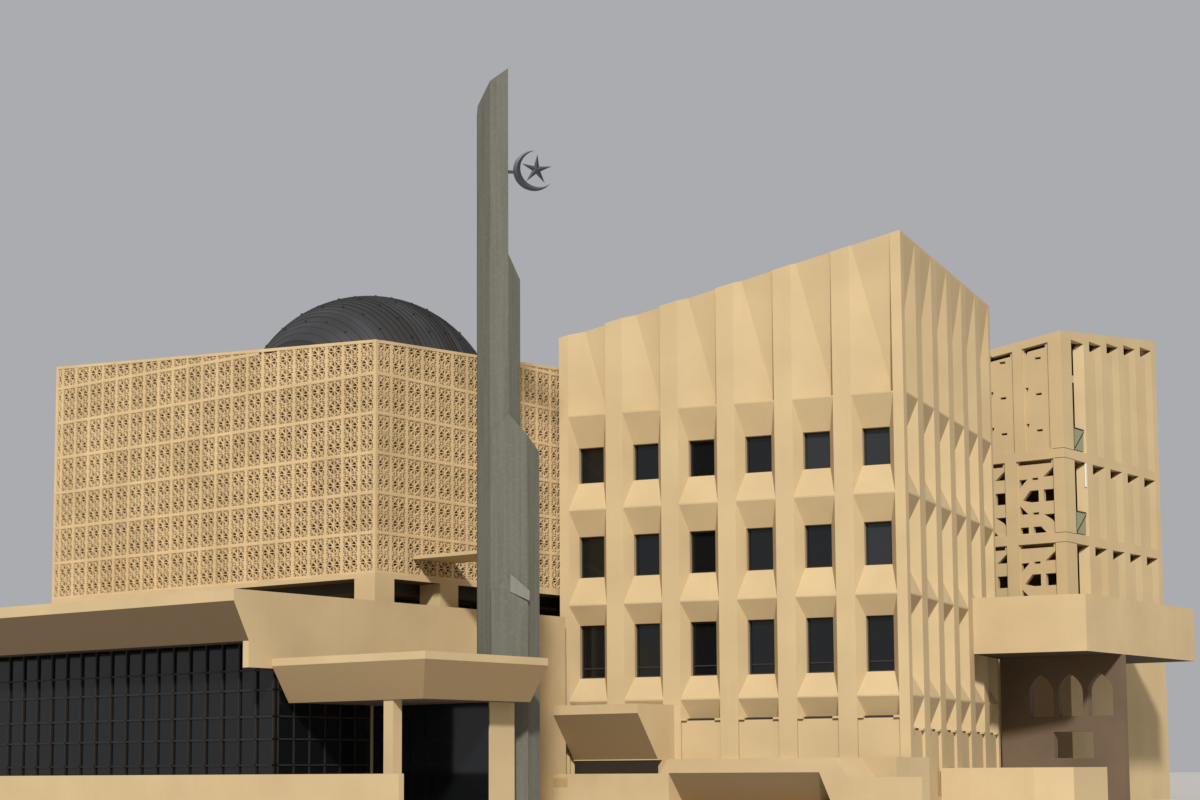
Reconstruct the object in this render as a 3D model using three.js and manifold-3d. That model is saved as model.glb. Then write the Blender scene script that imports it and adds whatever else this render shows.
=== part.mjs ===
// A city mosque: a prayer hall behind pierced screens, a dome, a folded classroom
// block, a stair tower, planted terraces and a free-standing minaret.
//
// Every size below is the real one in metres. The finished group is scaled to a
// 1:2 model in millimetres. +Z is up, +X runs right along the hall's front,
// +Y runs back along its side, and the origin is at the bottom centre.

import * as THREE from 'three';
import { mergeVertices } from 'three/addons/utils/BufferGeometryUtils.js';
import { ConvexGeometry } from 'three/addons/geometries/ConvexGeometry.js';
import Module from 'manifold-3d';

const wasm = await Module();
wasm.setup();

// Model scale: 1:2, so one real metre is 500 mm.
const MODEL_SCALE = 0.5;
const MM_PER_METRE = 1000 * MODEL_SCALE;

// Clearance between a piece and a neighbour that was cut to fit it.
const GAP = 0.001;
// How far a cutting solid runs past the face that it opens.
const PAST = 0.2;
// How far two cutting solids that join run into each other.
const OVERLAP = 0.01;
const SNAPS_PER_METRE = 50000;
// Corners closer than this are one corner.
const MERGE_DISTANCE = 1e-5;
// The middle of the building's plan in the sizes below, set over the origin.
const PLAN_CENTRE = { x: 0.9, y: 0.85 };

// Storeys and levels.
const STOREY = 4.1;
const FIRST_RIDGE = 4.6;
const SLAB = 0.35;
const GROUND_SLAB = 0.2;
const TERRACE_FLOOR = 7.1;
const PARAPET_TOP = 8.17;

// Prayer hall, a square box of screens on columns.
const HALL = { x0: -18.4, x1: 1.2, y0: -18.1, y1: 1.5, z0: 9.35 };
const HALL_FLOOR_DEPTH = 0.6;
// The floor's thin edge, and how far behind it the full depth begins.
const HALL_FLOOR_EDGE = 0.17;
const HALL_FLOOR_SETBACK = 1.2;
const HALL_TOP_NEAR = 18.55;
const HALL_TOP_RISE_X = 0.065;
const HALL_TOP_RISE_Y = 0.05;
const SCREEN_DEPTH = 0.35;
const SCREEN_BAND_PITCH = 1.57;
const SCREEN_BAND = 0.16;
const SCREEN_PANELS = 8;
const SCREEN_COPING = 0.3;
const SCREEN_SHORTEST_PANEL = 0.5;
const HALL_ROOF_Z = 17.2;
const HALL_ROOF_DEPTH = 0.4;
const HALL_GLASS_SETBACK = 0.9;
// Glass room between the columns: how far it stands in from each side of the hall.
const UNDERCROFT = { near: 2.6, far: 2 };
const GLASS = 0.12;

// Dome.
const DOME = { x: -8.49, y: -8.21, z: 17.37, radius: 5.85, shell: 0.3 };
const DOME_SIDES = 36;
const DOME_RINGS = 8;
const DOME_OPENING = 5.3;

// Columns under the hall.
const COLUMN = 1.1;
const COLUMN_INSET = 0.32;
const SIDE_COLUMN_Y = -14.3;

// Terrace in front of and under the hall.
const TERRACE = { x0: -18.4, x1: 2.0, y0: -26.2, y1: 1.5 };
const TERRACE_WALL = 0.3;
const FASCIA = 0.42;
const CANT_DROP = 1.4;
const CANT_SETBACK = 0.75;
const TROUGH_WALL = 0.2;
const TERRACE_WALL_END = -7.2;
const SHOPFRONT_SETBACK = 1.6;
// Where the shopfront turns the corner under the right wall.
const CORNER_GLASS = { y1: -19.0, head: 5.4 };
const FRONT_LOW_WALL = { x1: 9.5, top: 1.6, thickness: 0.25 };
const BACK_DOOR = { x0: -10, x1: -7.6, head: 2.9 };
// Thin canopy over the walk between the hall and the minaret.
const CANOPY = { reach: 3.8, y0: -15.9, y1: -13.5, z0: 10.04, z1: 10.18 };

// Classroom block. Its grid is turned against the hall's grid.
const BLOCK_CORNER = { x: 16.21, y: -3.05 };
const BLOCK_TURN = THREE.MathUtils.degToRad(13.9);
const BLOCK_WIDTH = 15.32;
const BLOCK_DEPTH = 15.8;
const BLOCK_TOP = 23.55;
const BLOCK_TOP_LEFT = 20.4;
const BLOCK_WALL = 0.8;
// Bays of each wall, counted from its corner end, with the plain pier before them.
const BLOCK_FRONT_BAYS = { count: 6, pier: 0.44, pitch: 2.54, groundHead: 3.8 };
const BLOCK_SIDE_BAYS = { count: 6, pier: 0.48, pitch: 2.644, groundHead: 3.3 };
const BLOCK_BACK_BAYS = { count: 4, pier: 0.44, pitch: 2.54, groundHead: 3.8 };
const RECESS_WIDTH = 1.75;
const WINDOW_WIDTH = 1.16;
const WINDOW_DEPTH = 0.47;
const UPPER_FOLD_DEPTH = 0.65;
const UPPER_FOLD_FLOOR = 0.15;
const RIDGE_LAND = 0.03;
// Plain band over the folds on the right face.
const SIDE_TOP_BAND = 0.12;
const WINDOW_ROWS = [
  { sill: 5.58, head: 7.85 },
  { sill: 9.9, head: 11.68 },
  { sill: 14.0, head: 15.55 },
];
const GROUND_PANEL_DEPTH = 0.12;
const GROUND_SLOT = 0.09;
const GROUND_FOOT = 0.5;
const GROUND_HEAD_INSET = 0.25;
const ROOF_DROP = 1.2;

// Stair tower on the hall's grid.
const TOWER = { x0: 5.9, x1: 14.15, y0: 16.35, y1: 27.9 };
const TOWER_WALL = 0.35;
const TOWER_FIRST_LEDGE = 8.85;
const TOWER_LEDGES = [0, 1, 2].map((storey) => TOWER_FIRST_LEDGE + storey * STOREY);
const TOWER_LEDGE_DEPTH = 0.47;
const TOWER_TOP_CORNER = 22.8;
const TOWER_TOP_BACK = 24.1;
const TOWER_TOP_LEFT = 21.75;
const TOWER_TOP_BEAM = 0.4;
const TOWER_ROOF = 20.9;

// The tower's pierced front: bays between piers, each with the same cut pattern.
const FRONT_BAYS = 3;
const FRONT_BAY = 1.97;
const FRONT_BAY_PITCH = 2.58;
const FRONT_CORNER_PIER = 0.58;
const PANEL_SETBACK = 0.1;
const HEAD_SLOT = { left: 0.05, right: 0.15, height: 0.2 };
// The pattern's columns, measured across from the bay's left edge, its rows,
// measured both up and down from its middle, and its sizes.
const PATTERN = {
  middle: 1.87,
  columns: { small: 0.1, centre: 0.78, margin: 0.02 },
  small: 0.44,
  large: 0.58,
  arrow: { tail: 0.16, rise: 0.17, foot: -0.04, head: -0.12, end: 0.33 },
  blocks: { foot: 0.06, head: 0.38, footWidth: 0.7, headWidth: 0.4 },
  nearRow: { low: 0.42, high: 0.86 },
  farRow: { low: 0.92, high: 1.4 },
  slot: { width: 0.32, height: 0.11, rise: 0.85 },
};
// The top storey's narrower bays and its closed pattern: short slots in the middle
// with a small notch beside each.
const TOP_BAYS = { count: 4, first: 12.06, width: 1.39, pitch: 1.9 };
const CLOSED_PATTERN = {
  rises: [0.98, 2.77, 4.55],
  slot: { left: 0.64, width: 0.32, height: 0.11 },
  notch: { left: 0.1, width: 0.18, foot: 0.1, head: 0.38 },
};

// The tower's folded side: flutes with an open head, the first one a doorway.
const FLUTES = 5;
const FLUTE_START = 17.5;
const FLUTE_PITCH = 2.1;
const FLUTE_WIDTH = 1.45;
const FLUTE_RETURN = 0.6;
const FLUTE_DEPTH = 0.1;
const FLUTE_HEAD = { foot: 0.72, height: 0.46 };
const DOORWAY = 0.95;
const BALUSTRADE = 1.1;
const BALUSTRADE_DEPTH = 0.04;
const BALUSTRADE_FOOT = 0.05;

// Podium with its pointed arch.
const PODIUM = { corner: { x: 18.5, y: 8.7 }, y1: 21.0 };
const PODIUM_TOP = 9.25;
const PODIUM_SOFFIT = 6.74;
const PODIUM_FLOOR = 8.7;
const PODIUM_WALL = 0.4;
// Where the podium meets the block's right face, in metres back from the corner.
const PODIUM_RUN = { start: 10.98, end: 15.7 };
const ARCH_WALL_Y = 12.4;
const ARCH_SILL = 4.0;
const ARCH_SPRING = 5.1;
const ARCH_APEX = 5.95;
const ARCH_WIDTH = 1.2;
const ARCH_SHOULDER = 0.4;
const ARCH_SEGMENTS = 6;
const ARCH_CENTRES = [14.5, 15.95, 17.4];
// The wide low opening under the arches.
const SCREEN_GATE = { x0: 15.05, x1: 17.0, sill: 2.1, head: 3.3 };

// Planters in front.
const PLANTER_WALL = 0.2;
const UPPER_PLANTER = { x1: 9.4, y0: -24.3, top: 5.75, lip: 5.48, foot: 4.17, setback: 0.85 };
const MIDDLE_PLANTER = {
  x0: TERRACE.x1 + GAP, x1: 6.4, y0: -8.05, top: 4.38, lip: 3.99, foot: 2.12, setback: 1.38,
};
// The dark gap under the middle planter and the low wall below it.
const MIDDLE_GAP = { foot: 1.53, head: 2.08, depth: 1.7 };
const LOWER_PLANTER = { x0: 7.87, x1: 15.63, y0: -8.05, top: 2.1, lip: 1.55, foot: 0.4, setback: 0.95 };
const LOWER_SHADE = { x0: 7.92, topRight: 14.98, footRight: 15.5 };
const LOW_WALL = { chamfer: 0.37, top: 1.53 };
const END_WALL = { x0: 16.26, x1: 19.4, top: 1.36, thickness: 0.3 };
// The step behind the end wall, which carries the bed round the block's corner.
const CORNER_STEP = { x0: 15.0, x1: 17.2, y0: -6.0, y1: -3.4, top: 2.1 };
const BED_DEPTH = 0.35;
// What carries the upper planter: a wall far back under it and a post at its front.
const PLANTER_CARRIER = { x1: 7.8, y0: -19.0 };
const PLANTER_POST = { x: 6.65, y: -23.4, width: 0.45 };
const SIDE_PLANTER_TOP = 1.68;
const SIDE_PLANTER_RUN = { start: 4.63, end: 8.59 };
const SIDE_PLANTER_OUTER = [[18.9, 2.3], [20.2, 3.3], [20.2, 6.6]];
const SIDE_BED_SHARE = 0.85;

// Minaret of nested tiers with slanted tops, set at 45 degrees to the hall.
const MINARET = { x: 6.4, y: -16.3 };
const MINARET_TURN = THREE.MathUtils.degToRad(45);
const MINARET_TOP = 28.6;
const MINARET_X = { left: -1.16, leftEdge: -0.74, shaft: -0.04, upper: 0.46, lowerEdge: 0.65, right: 1.16 };
const MINARET_FACE = 0.88;
const MINARET_NOSE = 0.2;
const TIER_STEP = 0.07;
const BASE_STEP = 0.17;
const TIER_APEX = { upper: 21.3, lower: 15.1, base: 8.9 };
const UPPER_TIER_NOSE = 0.34;
const LOWER_TIER_NOSE = 0.4;
// Rise for each metre across of the slanted tops, and of the shaft's and the base
// face's tops for each metre back.
const TOP_SLOPE = { shaft: 0.76, shaftBack: -0.7, upper: 1.75, lower: 1.12, base: 0.85, baseBack: 3.8 };
// How far the solid over a slanted top reaches to each side of the minaret's axis.
const TOP_CUT_REACH = 4;
// The minaret's foremost corner, which the planter behind the terrace wall meets.
const MINARET_FOOT_Y = MINARET.y - (MINARET_FACE + TIER_STEP + BASE_STEP - MINARET_X.leftEdge) * Math.SQRT1_2;

// Crescent and star.
const CRESCENT = { radius: 0.8, inner: 0.72, offset: 0.22, opening: 0.44, depth: 0.12, reach: 1.03, z: 24.7 };
const CRESCENT_SIDES = 28;
const STAR = { points: 5, tip: 0.62, waist: 0.24, turn: 1.5, dx: 0.1, dz: 0.05 };
const BRACKET = { bite: 0.06, thickness: 0.1, drop: 0.02 };

const MATERIALS = {
  render: new THREE.MeshStandardMaterial({ color: '#DEBB8C', roughness: 0.9 }),
  screen: new THREE.MeshStandardMaterial({ color: '#D6B080', roughness: 0.9 }),
  glass: new THREE.MeshStandardMaterial({ color: '#1E2428', roughness: 0.15 }),
  dome: new THREE.MeshStandardMaterial({ color: '#3E3C3E', roughness: 0.5, metalness: 0.7 }),
  minaret: new THREE.MeshStandardMaterial({ color: '#706E5C', roughness: 0.85 }),
  steel: new THREE.MeshStandardMaterial({ color: '#B9BDC0', roughness: 0.3, metalness: 1 }),
};

// Solids

function solidOf(geometry) {
  const bare = geometry.index ? geometry.toNonIndexed() : geometry.clone();
  bare.deleteAttribute('normal');
  bare.deleteAttribute('uv');
  const merged = mergeVertices(bare, MERGE_DISTANCE);
  const mesh = new wasm.Mesh({
    numProp: 3,
    vertProperties: new Float32Array(merged.attributes.position.array),
    triVerts: new Uint32Array(merged.index.array),
  });
  return new wasm.Manifold(mesh);
}

// The geometry of a finished solid, its points snapped so that faces that meet
// lie on exactly the same numbers.
function geometryOf(solid) {
  const mesh = solid.getMesh();
  const snapped = mesh.vertProperties.map((value) => Math.round(value * SNAPS_PER_METRE) / SNAPS_PER_METRE);
  const geometry = new THREE.BufferGeometry();
  geometry.setAttribute('position', new THREE.BufferAttribute(snapped, 3));
  geometry.setIndex(new THREE.BufferAttribute(mesh.triVerts, 1));
  return geometry;
}

function block(x0, x1, y0, y1, z0, z1) {
  const box = new THREE.BoxGeometry(x1 - x0, y1 - y0, z1 - z0);
  return solidOf(box.translate((x0 + x1) / 2, (y0 + y1) / 2, (z0 + z1) / 2));
}

function hull(points) {
  return solidOf(new ConvexGeometry(points.map((p) => new THREE.Vector3(...p))));
}

function outline(points) {
  return new THREE.Shape(points.map((p) => new THREE.Vector2(...p)));
}

// A plan outline of [x, y] points, raised from z0 to z1.
function planPrism(points, z0, z1) {
  const raised = new THREE.ExtrudeGeometry(outline(points), { depth: z1 - z0, bevelEnabled: false });
  return solidOf(raised.translate(0, 0, z0));
}

// A front outline of [x, z] points, carried back from y0 to y1.
function frontPrism(points, y0, y1) {
  const carried = new THREE.ExtrudeGeometry(outline(points), { depth: y1 - y0, bevelEnabled: false });
  return solidOf(carried.rotateX(Math.PI / 2).translate(0, y1, 0));
}

// A side outline of [y, z] points, carried along from x0 to x1.
function sidePrism(points, x0, x1) {
  const carried = new THREE.ExtrudeGeometry(outline(points), { depth: x1 - x0, bevelEnabled: false });
  return solidOf(carried.rotateY(Math.PI / 2).rotateX(Math.PI / 2).translate(x0, 0, 0));
}

function cut(body, tools) {
  return tools.reduce((left, tool) => left.subtract(tool), body);
}

function join(parts) {
  return parts.reduce((all, part) => all.add(part));
}

// A rectangular tube standing on its end, between two heights.
function ring(box, wall, z0, z1) {
  const outer = block(box.x0, box.x1, box.y0, box.y1, z0, z1);
  const inner = block(
    box.x0 + wall, box.x1 - wall, box.y0 + wall, box.y1 - wall, z0 - PAST, z1 + PAST,
  );
  return outer.subtract(inner);
}

// Named pieces

function piece(name, solid, material, parent) {
  const mesh = new THREE.Mesh(geometryOf(solid), MATERIALS[material]);
  mesh.name = name;
  parent.add(mesh);
}

const building = new THREE.Group();
building.scale.setScalar(MM_PER_METRE);
building.position.set(-PLAN_CENTRE.x * MM_PER_METRE, -PLAN_CENTRE.y * MM_PER_METRE, 0);

const hallGrid = new THREE.Group();
building.add(hallGrid);

const blockGrid = new THREE.Group();
blockGrid.position.set(BLOCK_CORNER.x, BLOCK_CORNER.y, 0);
blockGrid.rotation.z = BLOCK_TURN;
building.add(blockGrid);

// A point of the block's grid, given in the hall's grid.
function fromBlockGrid(x, y) {
  const c = Math.cos(BLOCK_TURN);
  const s = Math.sin(BLOCK_TURN);
  return [BLOCK_CORNER.x + x * c - y * s, BLOCK_CORNER.y + x * s + y * c];
}

// Prayer hall

function hallTop(x, y) {
  return HALL_TOP_NEAR + HALL_TOP_RISE_X * (HALL.x1 - x) + HALL_TOP_RISE_Y * (y - HALL.y0);
}

// A screen as bands and posts: a plate with a sloping top and a grid of openings.
// along and top give the run of the wall and its height at each end.
function screenPlate(a0, a1, topAt, carry) {
  const openings = [];
  const pitch = (a1 - a0) / SCREEN_PANELS;
  for (let column = 0; column < SCREEN_PANELS; column += 1) {
    const left = a0 + column * pitch + SCREEN_BAND / 2;
    const right = left + pitch - SCREEN_BAND;
    const lowestTop = Math.min(topAt(left), topAt(right)) - SCREEN_COPING;
    for (let bottom = HALL.z0 + SCREEN_BAND; bottom < lowestTop; bottom += SCREEN_BAND_PITCH) {
      const bandTop = bottom + SCREEN_BAND_PITCH - SCREEN_BAND;
      const cutTop = bandTop > lowestTop;
      const heads = cutTop ? [topAt(right) - SCREEN_COPING, topAt(left) - SCREEN_COPING] : [bandTop, bandTop];
      if (Math.min(...heads) - bottom > SCREEN_SHORTEST_PANEL) {
        openings.push([[left, bottom], [right, bottom], [right, heads[0]], [left, heads[1]]]);
      }
    }
  }
  const plate = [[a0, HALL.z0], [a1, HALL.z0], [a1, topAt(a1)], [a0, topAt(a0)]];
  return cut(carry(plate, 0), openings.map((points) => carry(points, PAST)));
}

function hallScreens() {
  const { x0, x1, y0, y1 } = HALL;
  const t = SCREEN_DEPTH;
  const frontTop = (x) => hallTop(x, y0);
  const backTop = (x) => hallTop(x, y1);
  const rightTop = (y) => hallTop(x1, y);
  const leftTop = (y) => hallTop(x0, y);
  const front = screenPlate(x0, x1, frontTop, (p, past) => frontPrism(p, y0 - past, y0 + t + past));
  const back = screenPlate(x0, x1, backTop, (p, past) => frontPrism(p, y1 - t - past, y1 + past));
  const side = [y0 + t + GAP, y1 - t - GAP];
  const right = screenPlate(...side, rightTop, (p, past) => sidePrism(p, x1 - t - past, x1 + past));
  const left = screenPlate(...side, leftTop, (p, past) => sidePrism(p, x0 - past, x0 + t + past));
  piece('hall_screen_front', front, 'screen', hallGrid);
  piece('hall_screen_right', right, 'screen', hallGrid);
  piece('hall_screen_back', back, 'screen', hallGrid);
  piece('hall_screen_left', left, 'screen', hallGrid);
}

// The hall's floor: deep in the middle, with a thin edge all round.
function hallFloor() {
  const { x0, x1, y0, y1, z0 } = HALL;
  const s = HALL_FLOOR_SETBACK;
  const edge = z0 - HALL_FLOOR_EDGE;
  return join([
    block(x0, x1, y0, y1, edge, z0),
    block(x0 + s, x1 - s, y0 + s, y1 - s, z0 - HALL_FLOOR_DEPTH, edge + OVERLAP),
  ]);
}

function hallShell() {
  const { x0, x1, y0, y1, z0 } = HALL;
  piece('hall_floor', hallFloor(), 'render', hallGrid);
  const s = HALL_GLASS_SETBACK;
  const glassBox = { x0: x0 + s, x1: x1 - s, y0: y0 + s, y1: y1 - s };
  piece('hall_glazing', ring(glassBox, GLASS, z0, HALL_ROOF_Z), 'glass', hallGrid);
  const t = SCREEN_DEPTH + GAP;
  const slab = block(x0 + t, x1 - t, y0 + t, y1 - t, HALL_ROOF_Z, HALL_ROOF_Z + HALL_ROOF_DEPTH);
  const opening = new THREE.CylinderGeometry(DOME_OPENING, DOME_OPENING, 3 * HALL_ROOF_DEPTH, DOME_SIDES);
  const well = solidOf(opening.rotateX(Math.PI / 2).translate(DOME.x, DOME.y, HALL_ROOF_Z));
  piece('hall_roof', slab.subtract(well), 'render', hallGrid);
}

function domeShell() {
  const base = HALL_ROOF_Z + HALL_ROOF_DEPTH;
  const arc = (radius) => {
    const lowest = Math.asin((base - DOME.z) / radius);
    const points = [];
    for (let i = 0; i <= DOME_RINGS; i += 1) {
      const angle = lowest + (Math.PI / 2 - lowest) * (i / DOME_RINGS);
      const r = i === DOME_RINGS ? 0 : radius * Math.cos(angle);
      points.push(new THREE.Vector2(r, radius * Math.sin(angle)));
    }
    return points;
  };
  const outer = arc(DOME.radius);
  const inner = arc(DOME.radius - DOME.shell).reverse();
  const shell = new THREE.LatheGeometry([...inner, ...outer], DOME_SIDES);
  const placed = shell.rotateX(Math.PI / 2).translate(DOME.x, DOME.y, DOME.z);
  piece('dome_shell', solidOf(placed), 'dome', hallGrid);
}

function hallColumns() {
  const near = HALL.x1 - COLUMN;
  const far = HALL.x0 + COLUMN_INSET;
  const front = HALL.y0;
  const back = HALL.y1 - COLUMN_INSET - COLUMN;
  const places = [[near, front], [near, SIDE_COLUMN_Y], [far, front], [far, back], [near, back]];
  places.forEach(([x, y], i) => {
    const column = block(x, x + COLUMN, y, y + COLUMN, TERRACE_FLOOR, HALL.z0);
    piece(`hall_column_${i + 1}`, column.subtract(hallFloor()), 'render', hallGrid);
  });
}

// Terrace

// A planter edge seen end on: fascia, canted soffit and the trough behind them.
function troughProfile(front, top, depth) {
  const foot = top - FASCIA - CANT_DROP;
  return [
    [front, top],
    [front, top - FASCIA],
    [front + CANT_SETBACK, foot],
    [front + depth, foot],
    [front + depth, top - FASCIA],
    [front + depth - TROUGH_WALL, top - FASCIA],
    [front + depth - TROUGH_WALL, foot + TROUGH_WALL],
    [front + CANT_SETBACK + TROUGH_WALL, foot + TROUGH_WALL],
    [front + TROUGH_WALL, top - FASCIA],
    [front + TROUGH_WALL, top],
  ];
}

function terrace() {
  const { x0, x1, y0, y1 } = TERRACE;
  const t = TERRACE_WALL;
  const depth = CANT_SETBACK + 1;
  const trough = sidePrism(troughProfile(y0, PARAPET_TOP, depth), x0 + t, x1 - t);
  piece('terrace_front_planter', trough, 'render', hallGrid);
  const slabFront = y0 + depth;
  // The floor plan inside the terrace walls, stepping in where the block begins.
  const floorPlan = (front) => [
    [x0 + t, front], [x1 - t, front], [x1 - t, TERRACE_WALL_END], [HALL.x1, TERRACE_WALL_END],
    [HALL.x1, y1 - t], [x0 + t, y1 - t],
  ];
  const slab = planPrism(floorPlan(slabFront), TERRACE_FLOOR - SLAB, TERRACE_FLOOR);
  piece('terrace_slab', slab, 'render', hallGrid);

  const sideProfile = [
    [y0, PARAPET_TOP],
    [y0, PARAPET_TOP - FASCIA],
    [y0 + CANT_SETBACK, PARAPET_TOP - FASCIA - CANT_DROP],
    [y0 + CANT_SETBACK, 0],
    [TERRACE_WALL_END, 0],
    [TERRACE_WALL_END, PARAPET_TOP],
  ];
  const corner = CORNER_GLASS;
  const rightProfile = sideProfile.slice(0, 3).concat([
    [y0 + CANT_SETBACK, corner.head], [corner.y1, corner.head], [corner.y1, 0],
  ], sideProfile.slice(4));
  piece('terrace_right_wall', sidePrism(rightProfile, x1 - t, x1), 'render', hallGrid);
  const leftProfile = sideProfile.slice(0, 4).concat([[y1, 0], [y1, PARAPET_TOP]]);
  piece('terrace_left_wall', sidePrism(leftProfile, x0, x0 + t), 'render', hallGrid);
  const back = block(x0 + t, HALL.x1, y1 - t, y1, 0, PARAPET_TOP);
  const door = BACK_DOOR;
  const hole = block(door.x0, door.x1, y1 - t - PAST, y1 + PAST, GROUND_SLAB, door.head);
  piece('terrace_back_wall', back.subtract(hole), 'render', hallGrid);

  const shop = y0 + CANT_SETBACK + SHOPFRONT_SETBACK;
  const inside = x1 - t;
  const outside = inside + GLASS;
  const glass = join([
    block(x0 + t, inside, shop, shop + GLASS, 0, TERRACE_FLOOR - SLAB),
    block(inside - OVERLAP, outside, shop, shop + GLASS, 0, corner.head),
    block(inside, outside, shop, corner.y1, 0, corner.head),
  ]);
  piece('ground_front_glazing', glass, 'glass', hallGrid);
  const low = FRONT_LOW_WALL;
  const face = y0 + CANT_SETBACK;
  piece('front_low_wall', block(x0, low.x1, face - low.thickness, face, 0, low.top), 'render', hallGrid);
  const floor = planPrism(floorPlan(shop + GLASS), 0, GROUND_SLAB);
  piece('ground_floor_hall', floor, 'render', hallGrid);

  const { near, far } = UNDERCROFT;
  const under = { x0: HALL.x0 + far, x1: HALL.x1 - near, y0: HALL.y0 + near, y1: HALL.y1 - far };
  const glazing = ring(under, GLASS, TERRACE_FLOOR, HALL.z0 - HALL_FLOOR_DEPTH);
  piece('undercroft_glazing', glazing, 'glass', hallGrid);
}

function canopy() {
  const { reach, y0, y1, z0, z1 } = CANOPY;
  piece('side_canopy', block(HALL.x1, HALL.x1 + reach, y0, y1, z0, z1), 'render', hallGrid);
}

// Classroom block

// A window recess tapering to the glass. a is measured along the wall, y inwards.
function windowPocket(start, row, ridgeBelow) {
  const side = (RECESS_WIDTH - WINDOW_WIDTH) / 2;
  const z0 = ridgeBelow + RIDGE_LAND;
  const z1 = ridgeBelow + STOREY - RIDGE_LAND;
  const corners = [];
  [0, RECESS_WIDTH].forEach((a) => [z0, z1].forEach((z) => {
    corners.push([start + a, -PAST, z]);
    corners.push([start + a, 0, z]);
  }));
  [side, RECESS_WIDTH - side].forEach((a) => [row.sill, row.head].forEach((z) => {
    corners.push([start + a, WINDOW_DEPTH, z]);
  }));
  const near = start + side;
  const opening = block(
    near, near + WINDOW_WIDTH, WINDOW_DEPTH - OVERLAP, BLOCK_WALL + OVERLAP, row.sill, row.head,
  );
  return hull(corners).add(opening);
}

// The tall fold over the windows: level with the wall at the roof and deep at the
// ridge, with its corner side square and its far side a slanting plane.
function upperFold(start, top) {
  const ridge = FIRST_RIDGE + 3 * STOREY + RIDGE_LAND;
  const end = start + RECESS_WIDTH;
  const fold = start + UPPER_FOLD_FLOOR;
  return hull([
    [start, 0, ridge], [end, 0, ridge], [start, 0, top], [end, 0, top],
    [start, UPPER_FOLD_DEPTH, ridge], [fold, UPPER_FOLD_DEPTH, ridge],
    [start, -PAST, ridge], [end, -PAST, ridge], [start, -PAST, top], [end, -PAST, top],
  ]);
}

// The blind ground panel with its shaded head and thin slot.
function groundPanel(start, foot) {
  const end = start + RECESS_WIDTH;
  const top = FIRST_RIDGE - RIDGE_LAND;
  const left = start + GROUND_HEAD_INSET;
  const right = end - GROUND_HEAD_INSET;
  const head = hull([
    [start, -PAST, top], [end, -PAST, top], [start, 0, top], [end, 0, top],
    [start, -PAST, foot], [end, -PAST, foot],
    [left, WINDOW_DEPTH, foot], [right, WINDOW_DEPTH, foot],
    [start, 0, foot], [end, 0, foot],
  ]);
  const slotFoot = foot - GROUND_SLOT;
  const panel = block(start, end, -PAST, GROUND_PANEL_DEPTH, GROUND_FOOT, slotFoot);
  const slot = block(left, right, -PAST, WINDOW_DEPTH, slotFoot - OVERLAP, foot + OVERLAP);
  return join([head, panel, slot]);
}

// What one bay of a wall cuts away, its wall running along +X and facing -Y.
function bayTools(bays, bay, foldTop) {
  const start = bays.pier + bay * bays.pitch;
  const pockets = WINDOW_ROWS.map((row, storey) => windowPocket(start, row, FIRST_RIDGE + storey * STOREY));
  return [groundPanel(start, bays.groundHead), ...pockets, upperFold(start, foldTop)];
}

// One wall of the block, its bays counted from the corner. It runs along +X from
// 0 to length, faces -Y, and its top falls from topStart to topEnd.
function bayWall(length, topStart, topEnd, bays, foldTop = BLOCK_TOP) {
  const plate = frontPrism([[0, 0], [length, 0], [length, topEnd], [0, topStart]], 0, BLOCK_WALL);
  const tools = [];
  for (let bay = 0; bay < bays.count; bay += 1) {
    tools.push(...bayTools(bays, bay, foldTop));
  }
  return cut(plate, tools);
}

const MIRROR_X = [-1, 0, 0, 0, 0, 1, 0, 0, 0, 0, 1, 0, 0, 0, 0, 1];

function turned(solid, degrees, x, y) {
  return solid.rotate([0, 0, degrees]).translate([x, y, 0]);
}

function blockPlan(inset) {
  const lean = Math.tan(BLOCK_TURN);
  const left = (y) => -BLOCK_WIDTH + lean * y;
  return [
    [left(inset) + inset / Math.cos(BLOCK_TURN), inset],
    [-inset, inset],
    [-inset, BLOCK_DEPTH - inset],
    [left(BLOCK_DEPTH - inset) + inset / Math.cos(BLOCK_TURN), BLOCK_DEPTH - inset],
  ];
}

// The end of a front or back wall, opened down to a depth where a bay of the right
// face reaches it.
function openEnd(wall, bay, foldTop, depth) {
  const reach = block(-depth, PAST, -PAST, BLOCK_DEPTH + PAST, -PAST, BLOCK_TOP + PAST);
  const tools = bayTools(BLOCK_SIDE_BAYS, bay, foldTop).map((tool) => turned(tool, 90, 0, 0));
  return cut(wall, tools.map((tool) => tool.intersect(reach)));
}

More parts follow.
